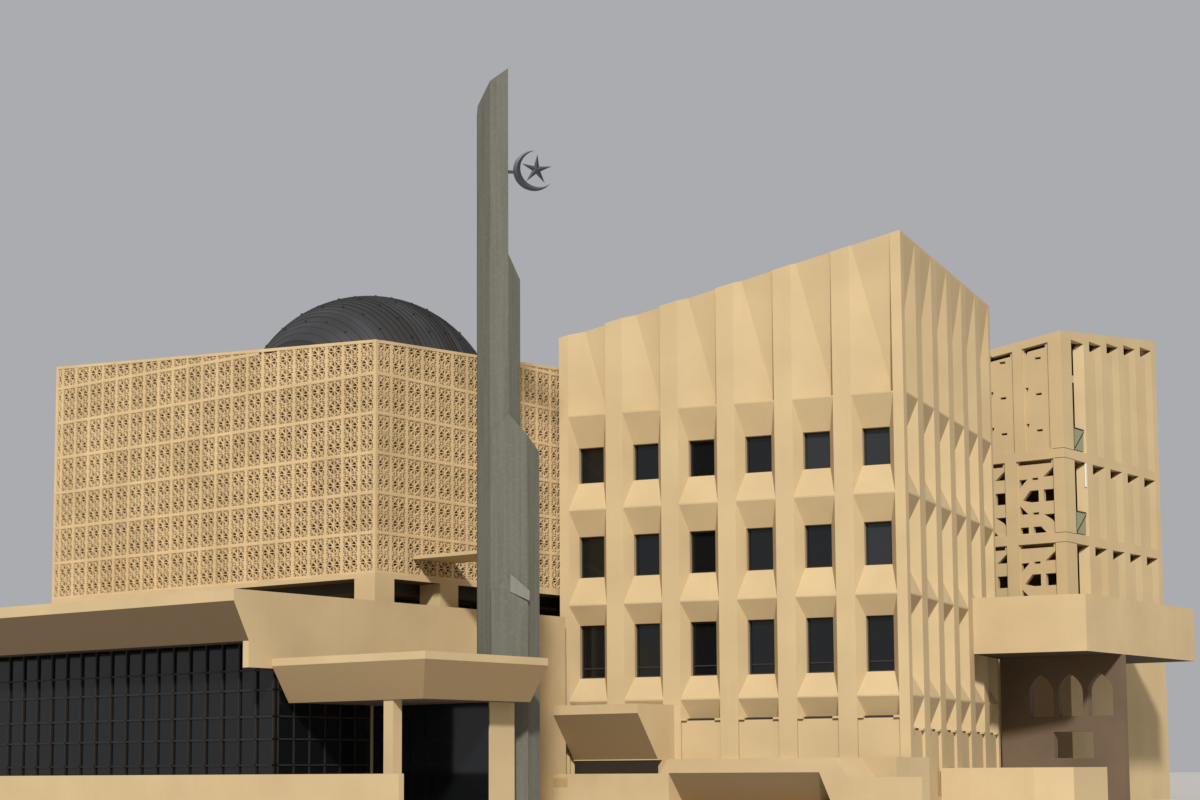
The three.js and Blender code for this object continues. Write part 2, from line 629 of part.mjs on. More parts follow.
function classroomWalls() {
  const lean = Math.tan(BLOCK_TURN);
  const backWidth = BLOCK_WIDTH - lean * BLOCK_DEPTH;
  const topAt = (run) => BLOCK_TOP - (BLOCK_TOP - BLOCK_TOP_LEFT) * (run / BLOCK_WIDTH);
  const foldTop = BLOCK_TOP - SIDE_TOP_BAND;
  const outerPlan = planPrism(blockPlan(0), -PAST, BLOCK_TOP + PAST);
  const front = bayWall(BLOCK_WIDTH, BLOCK_TOP, BLOCK_TOP_LEFT, BLOCK_FRONT_BAYS).transform(MIRROR_X);
  const frontWall = openEnd(front.intersect(outerPlan), 0, foldTop, BLOCK_FRONT_BAYS.pier);
  piece('classroom_front_wall', frontWall, 'render', blockGrid);

  const y0 = BLOCK_WALL + GAP;
  const y1 = BLOCK_DEPTH - BLOCK_WALL - GAP;
  const right = bayWall(BLOCK_DEPTH, BLOCK_TOP, BLOCK_TOP, BLOCK_SIDE_BAYS, foldTop);
  const between = block(y0, y1, -PAST, BLOCK_WALL + PAST, -PAST, BLOCK_TOP + PAST);
  piece('classroom_right_wall', turned(right.intersect(between), 90, 0, 0), 'render', blockGrid);

  const back = bayWall(backWidth, BLOCK_TOP, topAt(backWidth), BLOCK_BACK_BAYS);
  const backPlate = turned(back, 180, 0, BLOCK_DEPTH).intersect(outerPlan);
  const backWall = openEnd(backPlate, BLOCK_SIDE_BAYS.count - 1, foldTop, BLOCK_WALL + OVERLAP);
  piece('classroom_back_wall', backWall, 'render', blockGrid);

  const left = (y) => -BLOCK_WIDTH + lean * y;
  const leftWidth = BLOCK_WALL / 2;
  const plan = [[left(y0), y0], [left(y0) + leftWidth, y0], [left(y1) + leftWidth, y1], [left(y1), y1]];
  const roofCut = hull([
    [-BLOCK_WIDTH - PAST, topAt(BLOCK_WIDTH + PAST)], [PAST, topAt(-PAST)],
    [-BLOCK_WIDTH - PAST, BLOCK_TOP + 2 * PAST], [PAST, BLOCK_TOP + 2 * PAST],
  ].flatMap(([x, z]) => [[x, -PAST, z], [x, BLOCK_DEPTH + PAST, z]]));
  const leftWall = planPrism(plan, 0, BLOCK_TOP + PAST).subtract(roofCut);
  piece('classroom_left_wall', leftWall, 'render', blockGrid);
}

function classroomFloors() {
  const inset = BLOCK_WALL + GAP;
  piece('classroom_floor_0', planPrism(blockPlan(inset), 0, GROUND_SLAB), 'render', blockGrid);
  for (let level = 0; level <= WINDOW_ROWS.length; level += 1) {
    const top = FIRST_RIDGE + level * STOREY;
    piece(`classroom_floor_${level + 1}`, planPrism(blockPlan(inset), top - SLAB, top), 'render', blockGrid);
  }
  const drop = (BLOCK_TOP - BLOCK_TOP_LEFT) / BLOCK_WIDTH;
  const height = (x) => BLOCK_TOP + drop * x - ROOF_DROP;
  const corners = blockPlan(inset).flatMap(([x, y]) => [[x, y, height(x) - SLAB], [x, y, height(x)]]);
  piece('classroom_roof', hull(corners), 'render', blockGrid);
}

function classroomGlass() {
  WINDOW_ROWS.forEach((row, storey) => {
    const z0 = FIRST_RIDGE + storey * STOREY;
    const z1 = z0 + STOREY - SLAB;
    const outer = planPrism(blockPlan(BLOCK_WALL + GAP), z0, z1);
    const inner = planPrism(blockPlan(BLOCK_WALL + GAP + GLASS), z0 - PAST, z1 + PAST);
    piece(`classroom_glass_${storey + 1}`, outer.subtract(inner), 'glass', blockGrid);
  });
}

// Stair tower

// Height of the tower's top edge over a plan point.
function towerTop(x, y) {
  const { x0, x1, y0, y1 } = TOWER;
  const back = (TOWER_TOP_BACK - TOWER_TOP_CORNER) * ((y - y0) / (y1 - y0));
  const left = (TOWER_TOP_CORNER - TOWER_TOP_LEFT) * ((x1 - x) / (x1 - x0));
  return TOWER_TOP_CORNER + back - left;
}

// The left edge of a front bay, counted from the tower's open corner.
function frontBayLeft(bay) {
  return TOWER.x1 - FRONT_CORNER_PIER - FRONT_BAY - bay * FRONT_BAY_PITCH;
}

// One bay's cut shapes over a storey: squares, triangles and slots that mirror each
// other above and below the middle, with a row of blocks at the foot.
function piercedShapes(left, floor) {
  const { columns, small, large, arrow, blocks, nearRow, farRow, slot } = PATTERN;
  const m = floor + PATTERN.middle;
  const a = left + columns.small;
  const b = left + columns.centre;
  const c = left + FRONT_BAY - columns.margin - large;
  const foot = floor + blocks.foot;
  const head = floor + blocks.head;
  const shapes = [
    [[c, m - large / 2], [c + large, m - large / 2], [c + large, m + large / 2], [c, m + large / 2]],
    [
      [a + arrow.tail, m - arrow.rise], [b + arrow.foot, m - large / 2], [b + arrow.end, m - large / 2],
      [b + arrow.end, m + large / 2], [b + arrow.head, m + large / 2],
    ],
    [[a, foot], [a + small, foot], [a + small, head], [a, head]],
    [[b, foot], [b + blocks.footWidth, foot], [b + blocks.headWidth, head], [b, head]],
  ];
  [1, -1].forEach((side) => {
    const level = (rise) => m + side * rise;
    shapes.push([[a, level(nearRow.low)], [a + small, level(nearRow.high)], [a, level(nearRow.high)]]);
    shapes.push([[c, level(farRow.low)], [c + large, level(farRow.low)], [c + large, level(farRow.high)]]);
    const low = level(slot.rise) - slot.height / 2;
    const high = low + slot.height;
    shapes.push([[b, low], [b + slot.width, low], [b + slot.width, high], [b, high]]);
  });
  return shapes;
}

// The few small openings of the top storey, whose pattern is closed.
function closedShapes(left, floor) {
  const { rises, slot, notch } = CLOSED_PATTERN;
  const a = left + slot.left;
  const b = left + notch.left;
  return rises.flatMap((rise) => {
    const z = floor + rise - slot.height / 2;
    const foot = floor + rise + notch.foot;
    const head = floor + rise + notch.head;
    return [
      [[a, z], [a + slot.width, z], [a + slot.width, z + slot.height], [a, z + slot.height]],
      [[b, head], [b + notch.width / 2, foot], [b + notch.width, head]],
    ];
  });
}

// Height of the beam's underside over a ledge, at a point of the plan.
function towerHead(storey, x, y) {
  const next = TOWER_LEDGES[storey + 1];
  return next ? next - TOWER_LEDGE_DEPTH : towerTop(x, y) - TOWER_TOP_BEAM;
}

// Pierced front wall: panels set back between piers and ledges.
function towerFront() {
  const { x0, x1, y0 } = TOWER;
  const t = TOWER_WALL;
  const plate = frontPrism(
    [[x0, 0], [x1, 0], [x1, towerTop(x1, y0)], [x0, towerTop(x0, y0)]], y0, y0 + t,
  );
  const tools = [];
  TOWER_LEDGES.forEach((ledge, storey) => {
    const closed = storey === TOWER_LEDGES.length - 1;
    for (let bay = 0; bay < (closed ? TOP_BAYS.count : FRONT_BAYS); bay += 1) {
      const left = closed ? TOP_BAYS.first - bay * TOP_BAYS.pitch : frontBayLeft(bay);
      const right = left + (closed ? TOP_BAYS.width : FRONT_BAY);
      const heads = [left, right].map((x) => towerHead(storey, x, y0));
      tools.push(frontPrism([[left, ledge], [right, ledge], [right, heads[1]], [left, heads[0]]],
        y0 - PAST, y0 + PANEL_SETBACK));
      const shapes = closed ? closedShapes(left, ledge) : piercedShapes(left, ledge);
      const slotEnds = [left + HEAD_SLOT.left, right - HEAD_SLOT.right];
      const slotHeads = slotEnds.map((x) => [x, towerHead(storey, x, y0)]);
      const slotFeet = slotHeads.map(([x, z]) => [x, z - HEAD_SLOT.height]);
      shapes.push([...slotFeet, ...slotHeads.reverse()]);
      shapes.forEach((points) => tools.push(frontPrism(points, y0 - PAST, y0 + t + PAST)));
    }
  });
  return cut(plate, tools);
}

// One shallow flute: square on the near side, with a slanting return on the far side.
function flute(start, foot, head) {
  const { x1 } = TOWER;
  const end = start + FLUTE_WIDTH;
  const bend = end - FLUTE_RETURN;
  const section = [
    [x1 + PAST, start], [x1 + PAST, end], [x1, end], [x1 - FLUTE_DEPTH, bend], [x1 - FLUTE_DEPTH, start],
  ];
  return planPrism(section, foot, head);
}

// The open corner bay: a doorway through the wall with the same slanting return.
function doorway(start, foot, head) {
  const { x1 } = TOWER;
  const end = start + FLUTE_WIDTH;
  const inside = x1 - TOWER_WALL;
  const section = [
    [x1 + PAST, start], [x1 + PAST, end], [x1, end],
    [inside, start + DOORWAY], [inside - PAST, start + DOORWAY], [inside - PAST, start],
  ];
  return planPrism(section, foot, head);
}

// Folded side wall between the ledges.
function towerRight() {
  const { x1, y0, y1 } = TOWER;
  const t = TOWER_WALL;
  const start = y0 + t + GAP;
  const plate = sidePrism(
    [[start, 0], [y1, 0], [y1, towerTop(x1, y1)], [start, towerTop(x1, start)]], x1 - t, x1,
  );
  const tools = [];
  TOWER_LEDGES.forEach((ledge, storey) => {
    for (let i = 0; i < FLUTES; i += 1) {
      const a = FLUTE_START + i * FLUTE_PITCH;
      const head = towerHead(storey, x1, a);
      const fold = i === 0 ? doorway : flute;
      tools.push(fold(a, ledge, head));
      tools.push(sidePrism(
        [[a, head], [a + FLUTE_WIDTH, head], [a + FLUTE_HEAD.foot, head - FLUTE_HEAD.height],
          [a, head - FLUTE_HEAD.height]],
        x1 - t - PAST, x1 + PAST,
      ));
    }
  });
  return cut(plate, tools);
}

function tower() {
  const { x0, x1, y0, y1 } = TOWER;
  const t = TOWER_WALL;
  piece('tower_front_wall', towerFront(), 'render', hallGrid);
  piece('tower_right_wall', towerRight(), 'render', hallGrid);
  const end = x1 - t - GAP;
  const backOutline = [[x0, 0], [end, 0], [end, towerTop(end, y1)], [x0, towerTop(x0, y1)]];
  const backPlate = frontPrism(backOutline, y1 - t, y1);
  piece('tower_back_wall', backPlate, 'render', hallGrid);
  const near = y0 + t + GAP;
  const far = y1 - t - GAP;
  const leftOutline = [[near, 0], [far, 0], [far, towerTop(x0, far)], [near, towerTop(x0, near)]];
  const leftPlate = sidePrism(leftOutline, x0, x0 + t);
  piece('tower_left_wall', leftPlate, 'render', hallGrid);

  const slab = (top) => block(x0 + t + GAP, end, near, far, top - SLAB, top);
  TOWER_LEDGES.forEach((ledge, storey) => {
    piece(`tower_floor_${storey + 1}`, slab(ledge), 'render', hallGrid);
    const foot = ledge + BALUSTRADE_FOOT;
    const reach = FLUTE_START + FLUTE_WIDTH - 2 * BALUSTRADE_DEPTH * ((FLUTE_WIDTH - DOORWAY) / t) - GAP;
    const panel = block(x1 - BALUSTRADE_DEPTH, x1, FLUTE_START, reach, foot, foot + BALUSTRADE);
    piece(`tower_balustrade_${storey + 1}`, panel, 'steel', hallGrid);
  });
  piece('tower_roof', slab(TOWER_ROOF), 'render', hallGrid);
}

// Podium between the block and the tower

function podium() {
  const { corner, y1 } = PODIUM;
  const foot = fromBlockGrid(GAP, PODIUM_RUN.start);
  const backFoot = fromBlockGrid(GAP, PODIUM_RUN.end);
  const beside = TOWER.x1 + GAP;
  const before = TOWER.y0 - GAP;
  const plan = [
    foot, [corner.x, corner.y], [corner.x, y1],
    [beside, y1], [beside, before], [backFoot[0], before], backFoot,
  ];
  const slab = planPrism(plan, PODIUM_SOFFIT, PODIUM_FLOOR);
  const w = PODIUM_WALL;
  const bedPlan = [
    [foot[0] + w, foot[1] + w], [corner.x - w, corner.y + w], [corner.x - w, y1 - w],
    [beside + w, y1 - w], [beside + w, before - w], [backFoot[0] + w, before - w],
    [backFoot[0] + w, backFoot[1] + w],
  ];
  const bed = planPrism(bedPlan, PODIUM_SOFFIT, PODIUM_TOP + PAST);
  const parapet = planPrism(plan, PODIUM_FLOOR - OVERLAP, PODIUM_TOP).subtract(bed);
  piece('podium_slab', slab.add(parapet), 'render', hallGrid);

  const half = ARCH_WIDTH / 2;
  const wallBack = ARCH_WALL_Y + PODIUM_WALL;
  const holeSize = { depth: PODIUM_WALL + 2 * PAST, bevelEnabled: false, curveSegments: ARCH_SEGMENTS };
  const openings = ARCH_CENTRES.map((middle) => {
    const arch = new THREE.Shape();
    arch.moveTo(middle - half, ARCH_SILL);
    arch.lineTo(middle + half, ARCH_SILL);
    arch.lineTo(middle + half, ARCH_SPRING);
    arch.quadraticCurveTo(middle + half, ARCH_APEX - ARCH_SHOULDER, middle, ARCH_APEX);
    arch.quadraticCurveTo(middle - half, ARCH_APEX - ARCH_SHOULDER, middle - half, ARCH_SPRING);
    const hole = new THREE.ExtrudeGeometry(arch, holeSize);
    return solidOf(hole.rotateX(Math.PI / 2).translate(0, wallBack + PAST, 0));
  });
  const gate = SCREEN_GATE;
  openings.push(block(gate.x0, gate.x1, ARCH_WALL_Y - PAST, wallBack + PAST, gate.sill, gate.head));
  const wall = block(backFoot[0] + GAP, corner.x, ARCH_WALL_Y, wallBack, 0, PODIUM_SOFFIT);
  piece('podium_arch_wall', cut(wall, openings), 'render', hallGrid);
}

// Planters in front

// A raised box with a straight lip and a canted soffit, open underneath.
function upperPlanter() {
  const { x1, y0, top, lip, foot, setback } = UPPER_PLANTER;
  const x0 = TERRACE.x1;
  const y1 = MINARET_FOOT_Y - GAP;
  const w = PLANTER_WALL;
  const post = PLANTER_POST;
  const body = join([
    block(x0, x1, y0, y1, lip, top),
    hull([
      [x0, y0, lip], [x1, y0, lip], [x0, y1, lip], [x1, y1, lip],
      [x0, y0 + setback, foot], [x1 - setback, y0 + setback, foot],
      [x0, y1, foot], [x1 - setback, y1, foot],
    ]),
    block(x0, PLANTER_CARRIER.x1, PLANTER_CARRIER.y0, y1, 0, foot + OVERLAP),
    block(post.x, post.x + post.width, post.y, post.y + post.width, 0, foot + OVERLAP),
  ]);
  const bed = block(x0 + w, x1 - w, y0 + w, y1 - w, top - BED_DEPTH, top + PAST);
  piece('upper_planter', body.subtract(bed), 'render', hallGrid);
}

// Where the block's front wall stands behind a planter, at a given x.
function blockFrontAt(x) {
  return BLOCK_CORNER.y + (x - BLOCK_CORNER.x) * Math.tan(BLOCK_TURN) - GAP;
}

// The plan between a straight front and the block's turned wall.
function planToBlock(x0, x1, y0, inset = 0) {
  return [
    [x0, y0], [x1, y0], [x1, blockFrontAt(x1) - inset], [x0, blockFrontAt(x0) - inset],
  ];
}

function middlePlanter() {
  const { x0, x1, y0, top, lip, foot, setback } = MIDDLE_PLANTER;
  const gap = MIDDLE_GAP;
  const w = PLANTER_WALL;
  const body = planPrism(planToBlock(x0, x1, y0), 0, top);
  const shade = sidePrism([
    [y0 - PAST, lip], [y0, lip], [y0 + setback, foot], [y0 + setback, gap.head],
    [y0 + gap.depth, gap.head], [y0 + gap.depth, gap.foot], [y0 - PAST, gap.foot],
  ], x0 - PAST, x1 + PAST);
  const bed = planPrism(planToBlock(x0 + w, x1 - w, y0 + w, w), top - BED_DEPTH, top + PAST);
  piece('middle_planter', cut(body, [shade, bed]), 'render', hallGrid);
}

// The long low planter: a low wall on its left, a shaded front, and an end wall on
// its right that runs on past the block's corner.
function lowerPlanter() {
  const { x0, x1, y0, top, lip, foot, setback } = LOWER_PLANTER;
  const start = MIDDLE_PLANTER.x1 + GAP;
  const end = END_WALL;
  const w = PLANTER_WALL;
  const front = frontPrism([
    [start, 0], [end.x0, 0], [end.x0, end.top], [x1, top], [x0, top],
    [x0 - LOW_WALL.chamfer, LOW_WALL.top], [start, LOW_WALL.top],
  ], y0, BLOCK_CORNER.y);
  const plan = [
    [start, y0], [end.x0, y0], [end.x0, CORNER_STEP.y0],
    [BLOCK_CORNER.x, blockFrontAt(BLOCK_CORNER.x)], [start, blockFrontAt(start)],
  ];
  const step = CORNER_STEP;
  const body = join([
    front.intersect(planPrism(plan, -PAST, top + PAST)),
    block(end.x0 - w, end.x1, y0, y0 + end.thickness, 0, end.top),
    block(step.x0, step.x1, step.y0, step.y1, 0, step.top),
  ]);
  const shade = hull([y0 - PAST, y0].flatMap((y) => [
    [LOWER_SHADE.x0, y, lip], [LOWER_SHADE.topRight, y, lip],
    [LOWER_SHADE.x0, y, foot], [LOWER_SHADE.footRight, y, foot],
  ]).concat([
    [LOWER_SHADE.x0, y0 + setback, foot], [LOWER_SHADE.footRight, y0 + setback, foot],
  ]));
  const bed = planPrism(planToBlock(x0 + w, x1 - w, y0 + w, w), top - BED_DEPTH, top + PAST);
  piece('lower_planter', cut(body, [shade, bed]), 'render', hallGrid);
}

function sidePlanter() {
  const a = fromBlockGrid(GAP, SIDE_PLANTER_RUN.start);
  const b = fromBlockGrid(GAP, SIDE_PLANTER_RUN.end);
  const plan = [a, ...SIDE_PLANTER_OUTER, b];
  const solid = planPrism(plan, 0, SIDE_PLANTER_TOP);
  const outer = SIDE_PLANTER_OUTER[2];
  const middle = [(a[0] + outer[0]) / 2, (a[1] + outer[1]) / 2];
  const inward = (point) => point.map((value, i) => middle[i] + (value - middle[i]) * SIDE_BED_SHARE);
  const bed = planPrism(plan.map(inward), SIDE_PLANTER_TOP - BED_DEPTH, SIDE_PLANTER_TOP + PAST);
  piece('side_planter', solid.subtract(bed), 'render', hallGrid);
}

// Minaret

// Everything over a sloping plane, to be cut away. height gives the plane's z.
function above(height) {
  const r = TOP_CUT_REACH;
  const corners = [[-r, -r], [r, -r], [r, r], [-r, r]];
  return hull(corners.flatMap(([x, y]) => [[x, y, height(x, y)], [x, y, MINARET_TOP + 2 * r]]));
}

// An outline whose back half mirrors the front half given here, left to right.
function mirroredPlan(front) {
  return [...front, ...front.map(([x, y]) => [x, -y]).reverse()];
}

function minaret() {
  const grid = new THREE.Group();
  grid.position.set(MINARET.x, MINARET.y, 0);
  grid.rotation.z = MINARET_TURN;
  building.add(grid);

  const { left, leftEdge, shaft, upper, lowerEdge, right } = MINARET_X;
  const slope = TOP_SLOPE;
  const shaftPlan = mirroredPlan([[left, -MINARET_NOSE], [leftEdge, -MINARET_FACE], [shaft, -MINARET_FACE]]);
  const shaftTop = above(
    (x, y) => MINARET_TOP + slope.shaft * (x - shaft) + slope.shaftBack * (y + MINARET_FACE),
  );
  const shaftSolid = planPrism(shaftPlan, 0, MINARET_TOP + PAST).subtract(shaftTop);
  piece('minaret_shaft', shaftSolid, 'minaret', grid);

  const upperPlan = mirroredPlan([[shaft + GAP, -MINARET_FACE], [upper, -UPPER_TIER_NOSE]]);
  const upperTop = above((x) => TIER_APEX.upper - slope.upper * (x - shaft));
  const upperTier = planPrism(upperPlan, 0, TIER_APEX.upper + PAST).subtract(upperTop);
  piece('minaret_upper_tier', upperTier, 'minaret', grid);

  const clear = 2 * GAP;
  const corePlan = mirroredPlan([
    [left, -MINARET_NOSE - clear], [leftEdge, -MINARET_FACE - clear], [shaft + clear, -MINARET_FACE - clear],
    [upper + clear, -UPPER_TIER_NOSE - clear],
  ]);
  const core = planPrism(corePlan, -PAST, MINARET_TOP);
  const lowerFace = MINARET_FACE + TIER_STEP;
  const lowerPlan = mirroredPlan([
    [leftEdge, -lowerFace], [lowerEdge, -lowerFace], [right, -LOWER_TIER_NOSE],
  ]);
  const lowerTops = [1, -1].map((side) => above((x) => TIER_APEX.lower - slope.lower * side * (x - shaft)));
  const lowerTier = cut(planPrism(lowerPlan, 0, TIER_APEX.lower + PAST), [...lowerTops, core]);
  piece('minaret_lower_tier', lowerTier, 'minaret', grid);

  const baseFace = lowerFace + BASE_STEP;
  const behind = lowerFace + GAP;
  const basePlan = [[leftEdge, -baseFace], [lowerEdge, -baseFace], [lowerEdge, -behind], [leftEdge, -behind]];
  const baseTops = [
    above((x) => TIER_APEX.base + slope.base * (x - shaft)),
    above((x, y) => TIER_APEX.base - slope.base * (x - shaft) + slope.baseBack * (y + lowerFace)),
  ];
  const baseSolid = cut(planPrism(basePlan, 0, TIER_APEX.base + PAST), baseTops);
  piece('minaret_base_face', baseSolid, 'minaret', grid);

  finial(grid);
}

// Crescent and star on a short bracket, in the plane of the shaft's face.
function finial(grid) {
  const { shaft } = MINARET_X;
  const y = -MINARET_FACE / 2;
  const centre = { x: shaft + CRESCENT.reach, z: CRESCENT.z };
  const disc = (x, z, radius, sides, depth) => {
    const drum = new THREE.CylinderGeometry(radius, radius, depth, sides);
    return solidOf(drum.translate(x, y, z));
  };
  const open = CRESCENT.opening;
  const bite = disc(
    centre.x + CRESCENT.offset * Math.cos(open), centre.z + CRESCENT.offset * Math.sin(open),
    CRESCENT.inner, CRESCENT_SIDES, 1,
  );
  const crescent = disc(centre.x, centre.z, CRESCENT.radius, CRESCENT_SIDES, CRESCENT.depth).subtract(bite);
  const star = [];
  for (let i = 0; i < 2 * STAR.points; i += 1) {
    const angle = STAR.turn + (i * Math.PI) / STAR.points;
    const radius = i % 2 === 0 ? STAR.tip : STAR.waist;
    star.push([centre.x + STAR.dx + radius * Math.cos(angle), centre.z + STAR.dz + radius * Math.sin(angle)]);
  }
  const starSolid = frontPrism(star, y - CRESCENT.depth / 2, y + CRESCENT.depth / 2);
  piece('crescent_and_star', crescent.add(starSolid), 'steel', grid);
  const tip = centre.x - CRESCENT.radius + BRACKET.bite;
  const half = BRACKET.thickness / 2;
  const head = CRESCENT.z - BRACKET.drop;
  const arm = block(shaft + GAP, tip, y - half, y + half, head - BRACKET.thickness, head);
  const clear = disc(centre.x, centre.z, CRESCENT.radius + GAP, CRESCENT_SIDES, 1);
  piece('crescent_bracket', arm.subtract(clear), 'steel', grid);
}

hallShell();
hallScreens();
domeShell();
hallColumns();
terrace();
canopy();
classroomWalls();
classroomFloors();
classroomGlass();
tower();
podium();
upperPlanter();
middlePlanter();
lowerPlanter();
sidePlanter();
minaret();

export default building;
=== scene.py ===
"""Looks of a city mosque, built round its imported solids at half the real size.

The sizes below are the real ones in metres, measured as in the building's own plan:
+X runs right along the prayer hall's front, +Y back along its side, +Z up. A Grid
turns them into the half-size model's frame.
"""

import logging
import math
from dataclasses import dataclass, field
from enum import Enum

import bmesh
import bpy
import numpy as np
from mathutils import Matrix, Vector


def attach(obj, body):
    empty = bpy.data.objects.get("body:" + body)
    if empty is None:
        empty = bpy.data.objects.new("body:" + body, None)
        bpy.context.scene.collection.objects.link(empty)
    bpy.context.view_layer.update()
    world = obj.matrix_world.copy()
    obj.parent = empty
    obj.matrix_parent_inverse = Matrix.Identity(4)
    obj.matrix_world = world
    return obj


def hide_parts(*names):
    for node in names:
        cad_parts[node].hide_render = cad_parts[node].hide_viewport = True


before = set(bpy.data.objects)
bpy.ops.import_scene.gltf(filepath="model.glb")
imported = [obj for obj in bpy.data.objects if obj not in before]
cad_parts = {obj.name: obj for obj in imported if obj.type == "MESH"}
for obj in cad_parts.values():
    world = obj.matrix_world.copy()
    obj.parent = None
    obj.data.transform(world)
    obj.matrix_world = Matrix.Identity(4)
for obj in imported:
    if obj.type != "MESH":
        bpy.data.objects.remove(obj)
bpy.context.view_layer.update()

logging.basicConfig(level=logging.INFO, format="%(message)s")
LOG = logging.getLogger("mosque")

MODEL_SCALE = 0.5
PLAN_CENTRE = (0.9, 0.85, 0.0)
MM = 0.001
# Corners of a model mesh closer than this, in metres, are one corner.
MERGE_DISTANCE = 2e-5


# Shapes


# One number, or an array of them.
Reals = float | np.ndarray


@dataclass
class Surface:
    """A mesh being worked out: its points and its faces, in groups of one size."""

    points: np.ndarray
    faces: list[np.ndarray]

    @staticmethod
    def join(parts: list["Surface"]) -> "Surface":
        """Puts several surfaces into one.

        Args:
            parts: The surfaces, which keep their own points.

        Returns:
            One surface with all their faces.
        """
        faces = []
        start = 0
        for part in parts:
            faces.extend(group + start for group in part.faces)
            start += len(part.points)
        return Surface(np.concatenate([part.points for part in parts]), faces)


# On which side of a box's middle each corner lies, along its three axes: the corners
# run round its foot and then round its head.
BOX_SIDES = np.array((
    (-1, -1, -1), (1, -1, -1), (1, 1, -1), (-1, 1, -1), (-1, -1, 1), (1, -1, 1), (1, 1, 1), (-1, 1, 1),
))
BOX_FACES = np.array((
    (0, 3, 2, 1), (4, 5, 6, 7), (0, 1, 5, 4), (1, 2, 6, 5), (2, 3, 7, 6), (3, 0, 4, 7),
))


def hexahedra(corners: np.ndarray) -> Surface:
    """Boxes with any corners: box i takes the eight points of row i, as BOX_SIDES has them.

    Args:
        corners: An array of n x 8 x 3 points.

    Returns:
        The n closed boxes.
    """
    count, size = corners.shape[:2]
    starts = size * np.arange(count)[:, None, None]
    return Surface(corners.reshape(-1, 3), [(BOX_FACES[None] + starts).reshape(-1, 4)])


def prism(plan: np.ndarray, foot: float, head: float) -> Surface:
    """A straight prism: its plan at the foot and at the head, joined by upright quads.

    Args:
        plan: An array of n x 2 corners, turning left seen from above.
        foot: Its lower height.
        head: Its upper height.

    Returns:
        The closed prism.
    """
    count = len(plan)
    low = np.column_stack((plan, np.full(count, foot)))
    high = np.column_stack((plan, np.full(count, head)))
    i = np.arange(count)
    j = (i + 1) % count
    sides = np.stack((i, j, j + count, i + count), axis=-1)
    return Surface(np.concatenate((low, high)), [sides, (i + count)[None], i[None, ::-1]])


def grid_faces(rows: int, columns: int, wrap: bool = False) -> np.ndarray:
    """The quads of a grid of points, row after row.

    Quad (i, j) joins point (i, j) to (i, j + 1), (i + 1, j + 1) and (i + 1, j).

    Args:
        rows: How many rows of points there are.
        columns: How many points each row has.
        wrap: Whether each row's last point joins its first.

    Returns:
        An array of n x 4 point numbers.
    """
    across = columns if wrap else columns - 1
    i, j = np.meshgrid(np.arange(rows - 1), np.arange(across), indexing="ij")
    right = (j + 1) % columns
    corners = ((i, j), (i, right), (i + 1, right), (i + 1, j))
    return np.stack([row * columns + column for row, column in corners], axis=-1).reshape(-1, 4)


def tube(lines: np.ndarray, wrap: bool = False) -> Surface:
    """A section carried along a path: each of its corners draws a line, and quads join the lines.

    Args:
        lines: An array of section corners x path steps x 3 points.
        wrap: Whether the path closes on itself.

    Returns:
        The tube's skin. Its first line stands there twice, until its doubles are merged.
    """
    closed = np.concatenate((lines, lines[:1]))
    return Surface(closed.reshape(-1, 3), [grid_faces(len(closed), lines.shape[1], wrap)])


@dataclass(frozen=True)
class Grid:
    """One of the building's plan grids, with its own origin and turn, in real metres."""

    x: float = 0.0
    y: float = 0.0
    turn: float = 0.0

    def place(self, points: np.ndarray) -> np.ndarray:
        """Brings points of this grid to the half-size model.

        They are turned and moved into the building's plan, less its centre, times a half.

        Args:
            points: An array whose last axis is x, y, z.

        Returns:
            The same points in the model's frame.
        """
        c = math.cos(math.radians(self.turn))
        s = math.sin(math.radians(self.turn))
        turned = points @ np.array(((c, s, 0), (-s, c, 0), (0, 0, 1)))
        planned = turned + np.array((self.x, self.y, 0))
        return (planned - np.array(PLAN_CENTRE)) * MODEL_SCALE


HALL_GRID = Grid()
BLOCK_GRID = Grid(16.21, -3.05, 13.9)
MINARET_GRID = Grid(6.4, -16.3, 45.0)


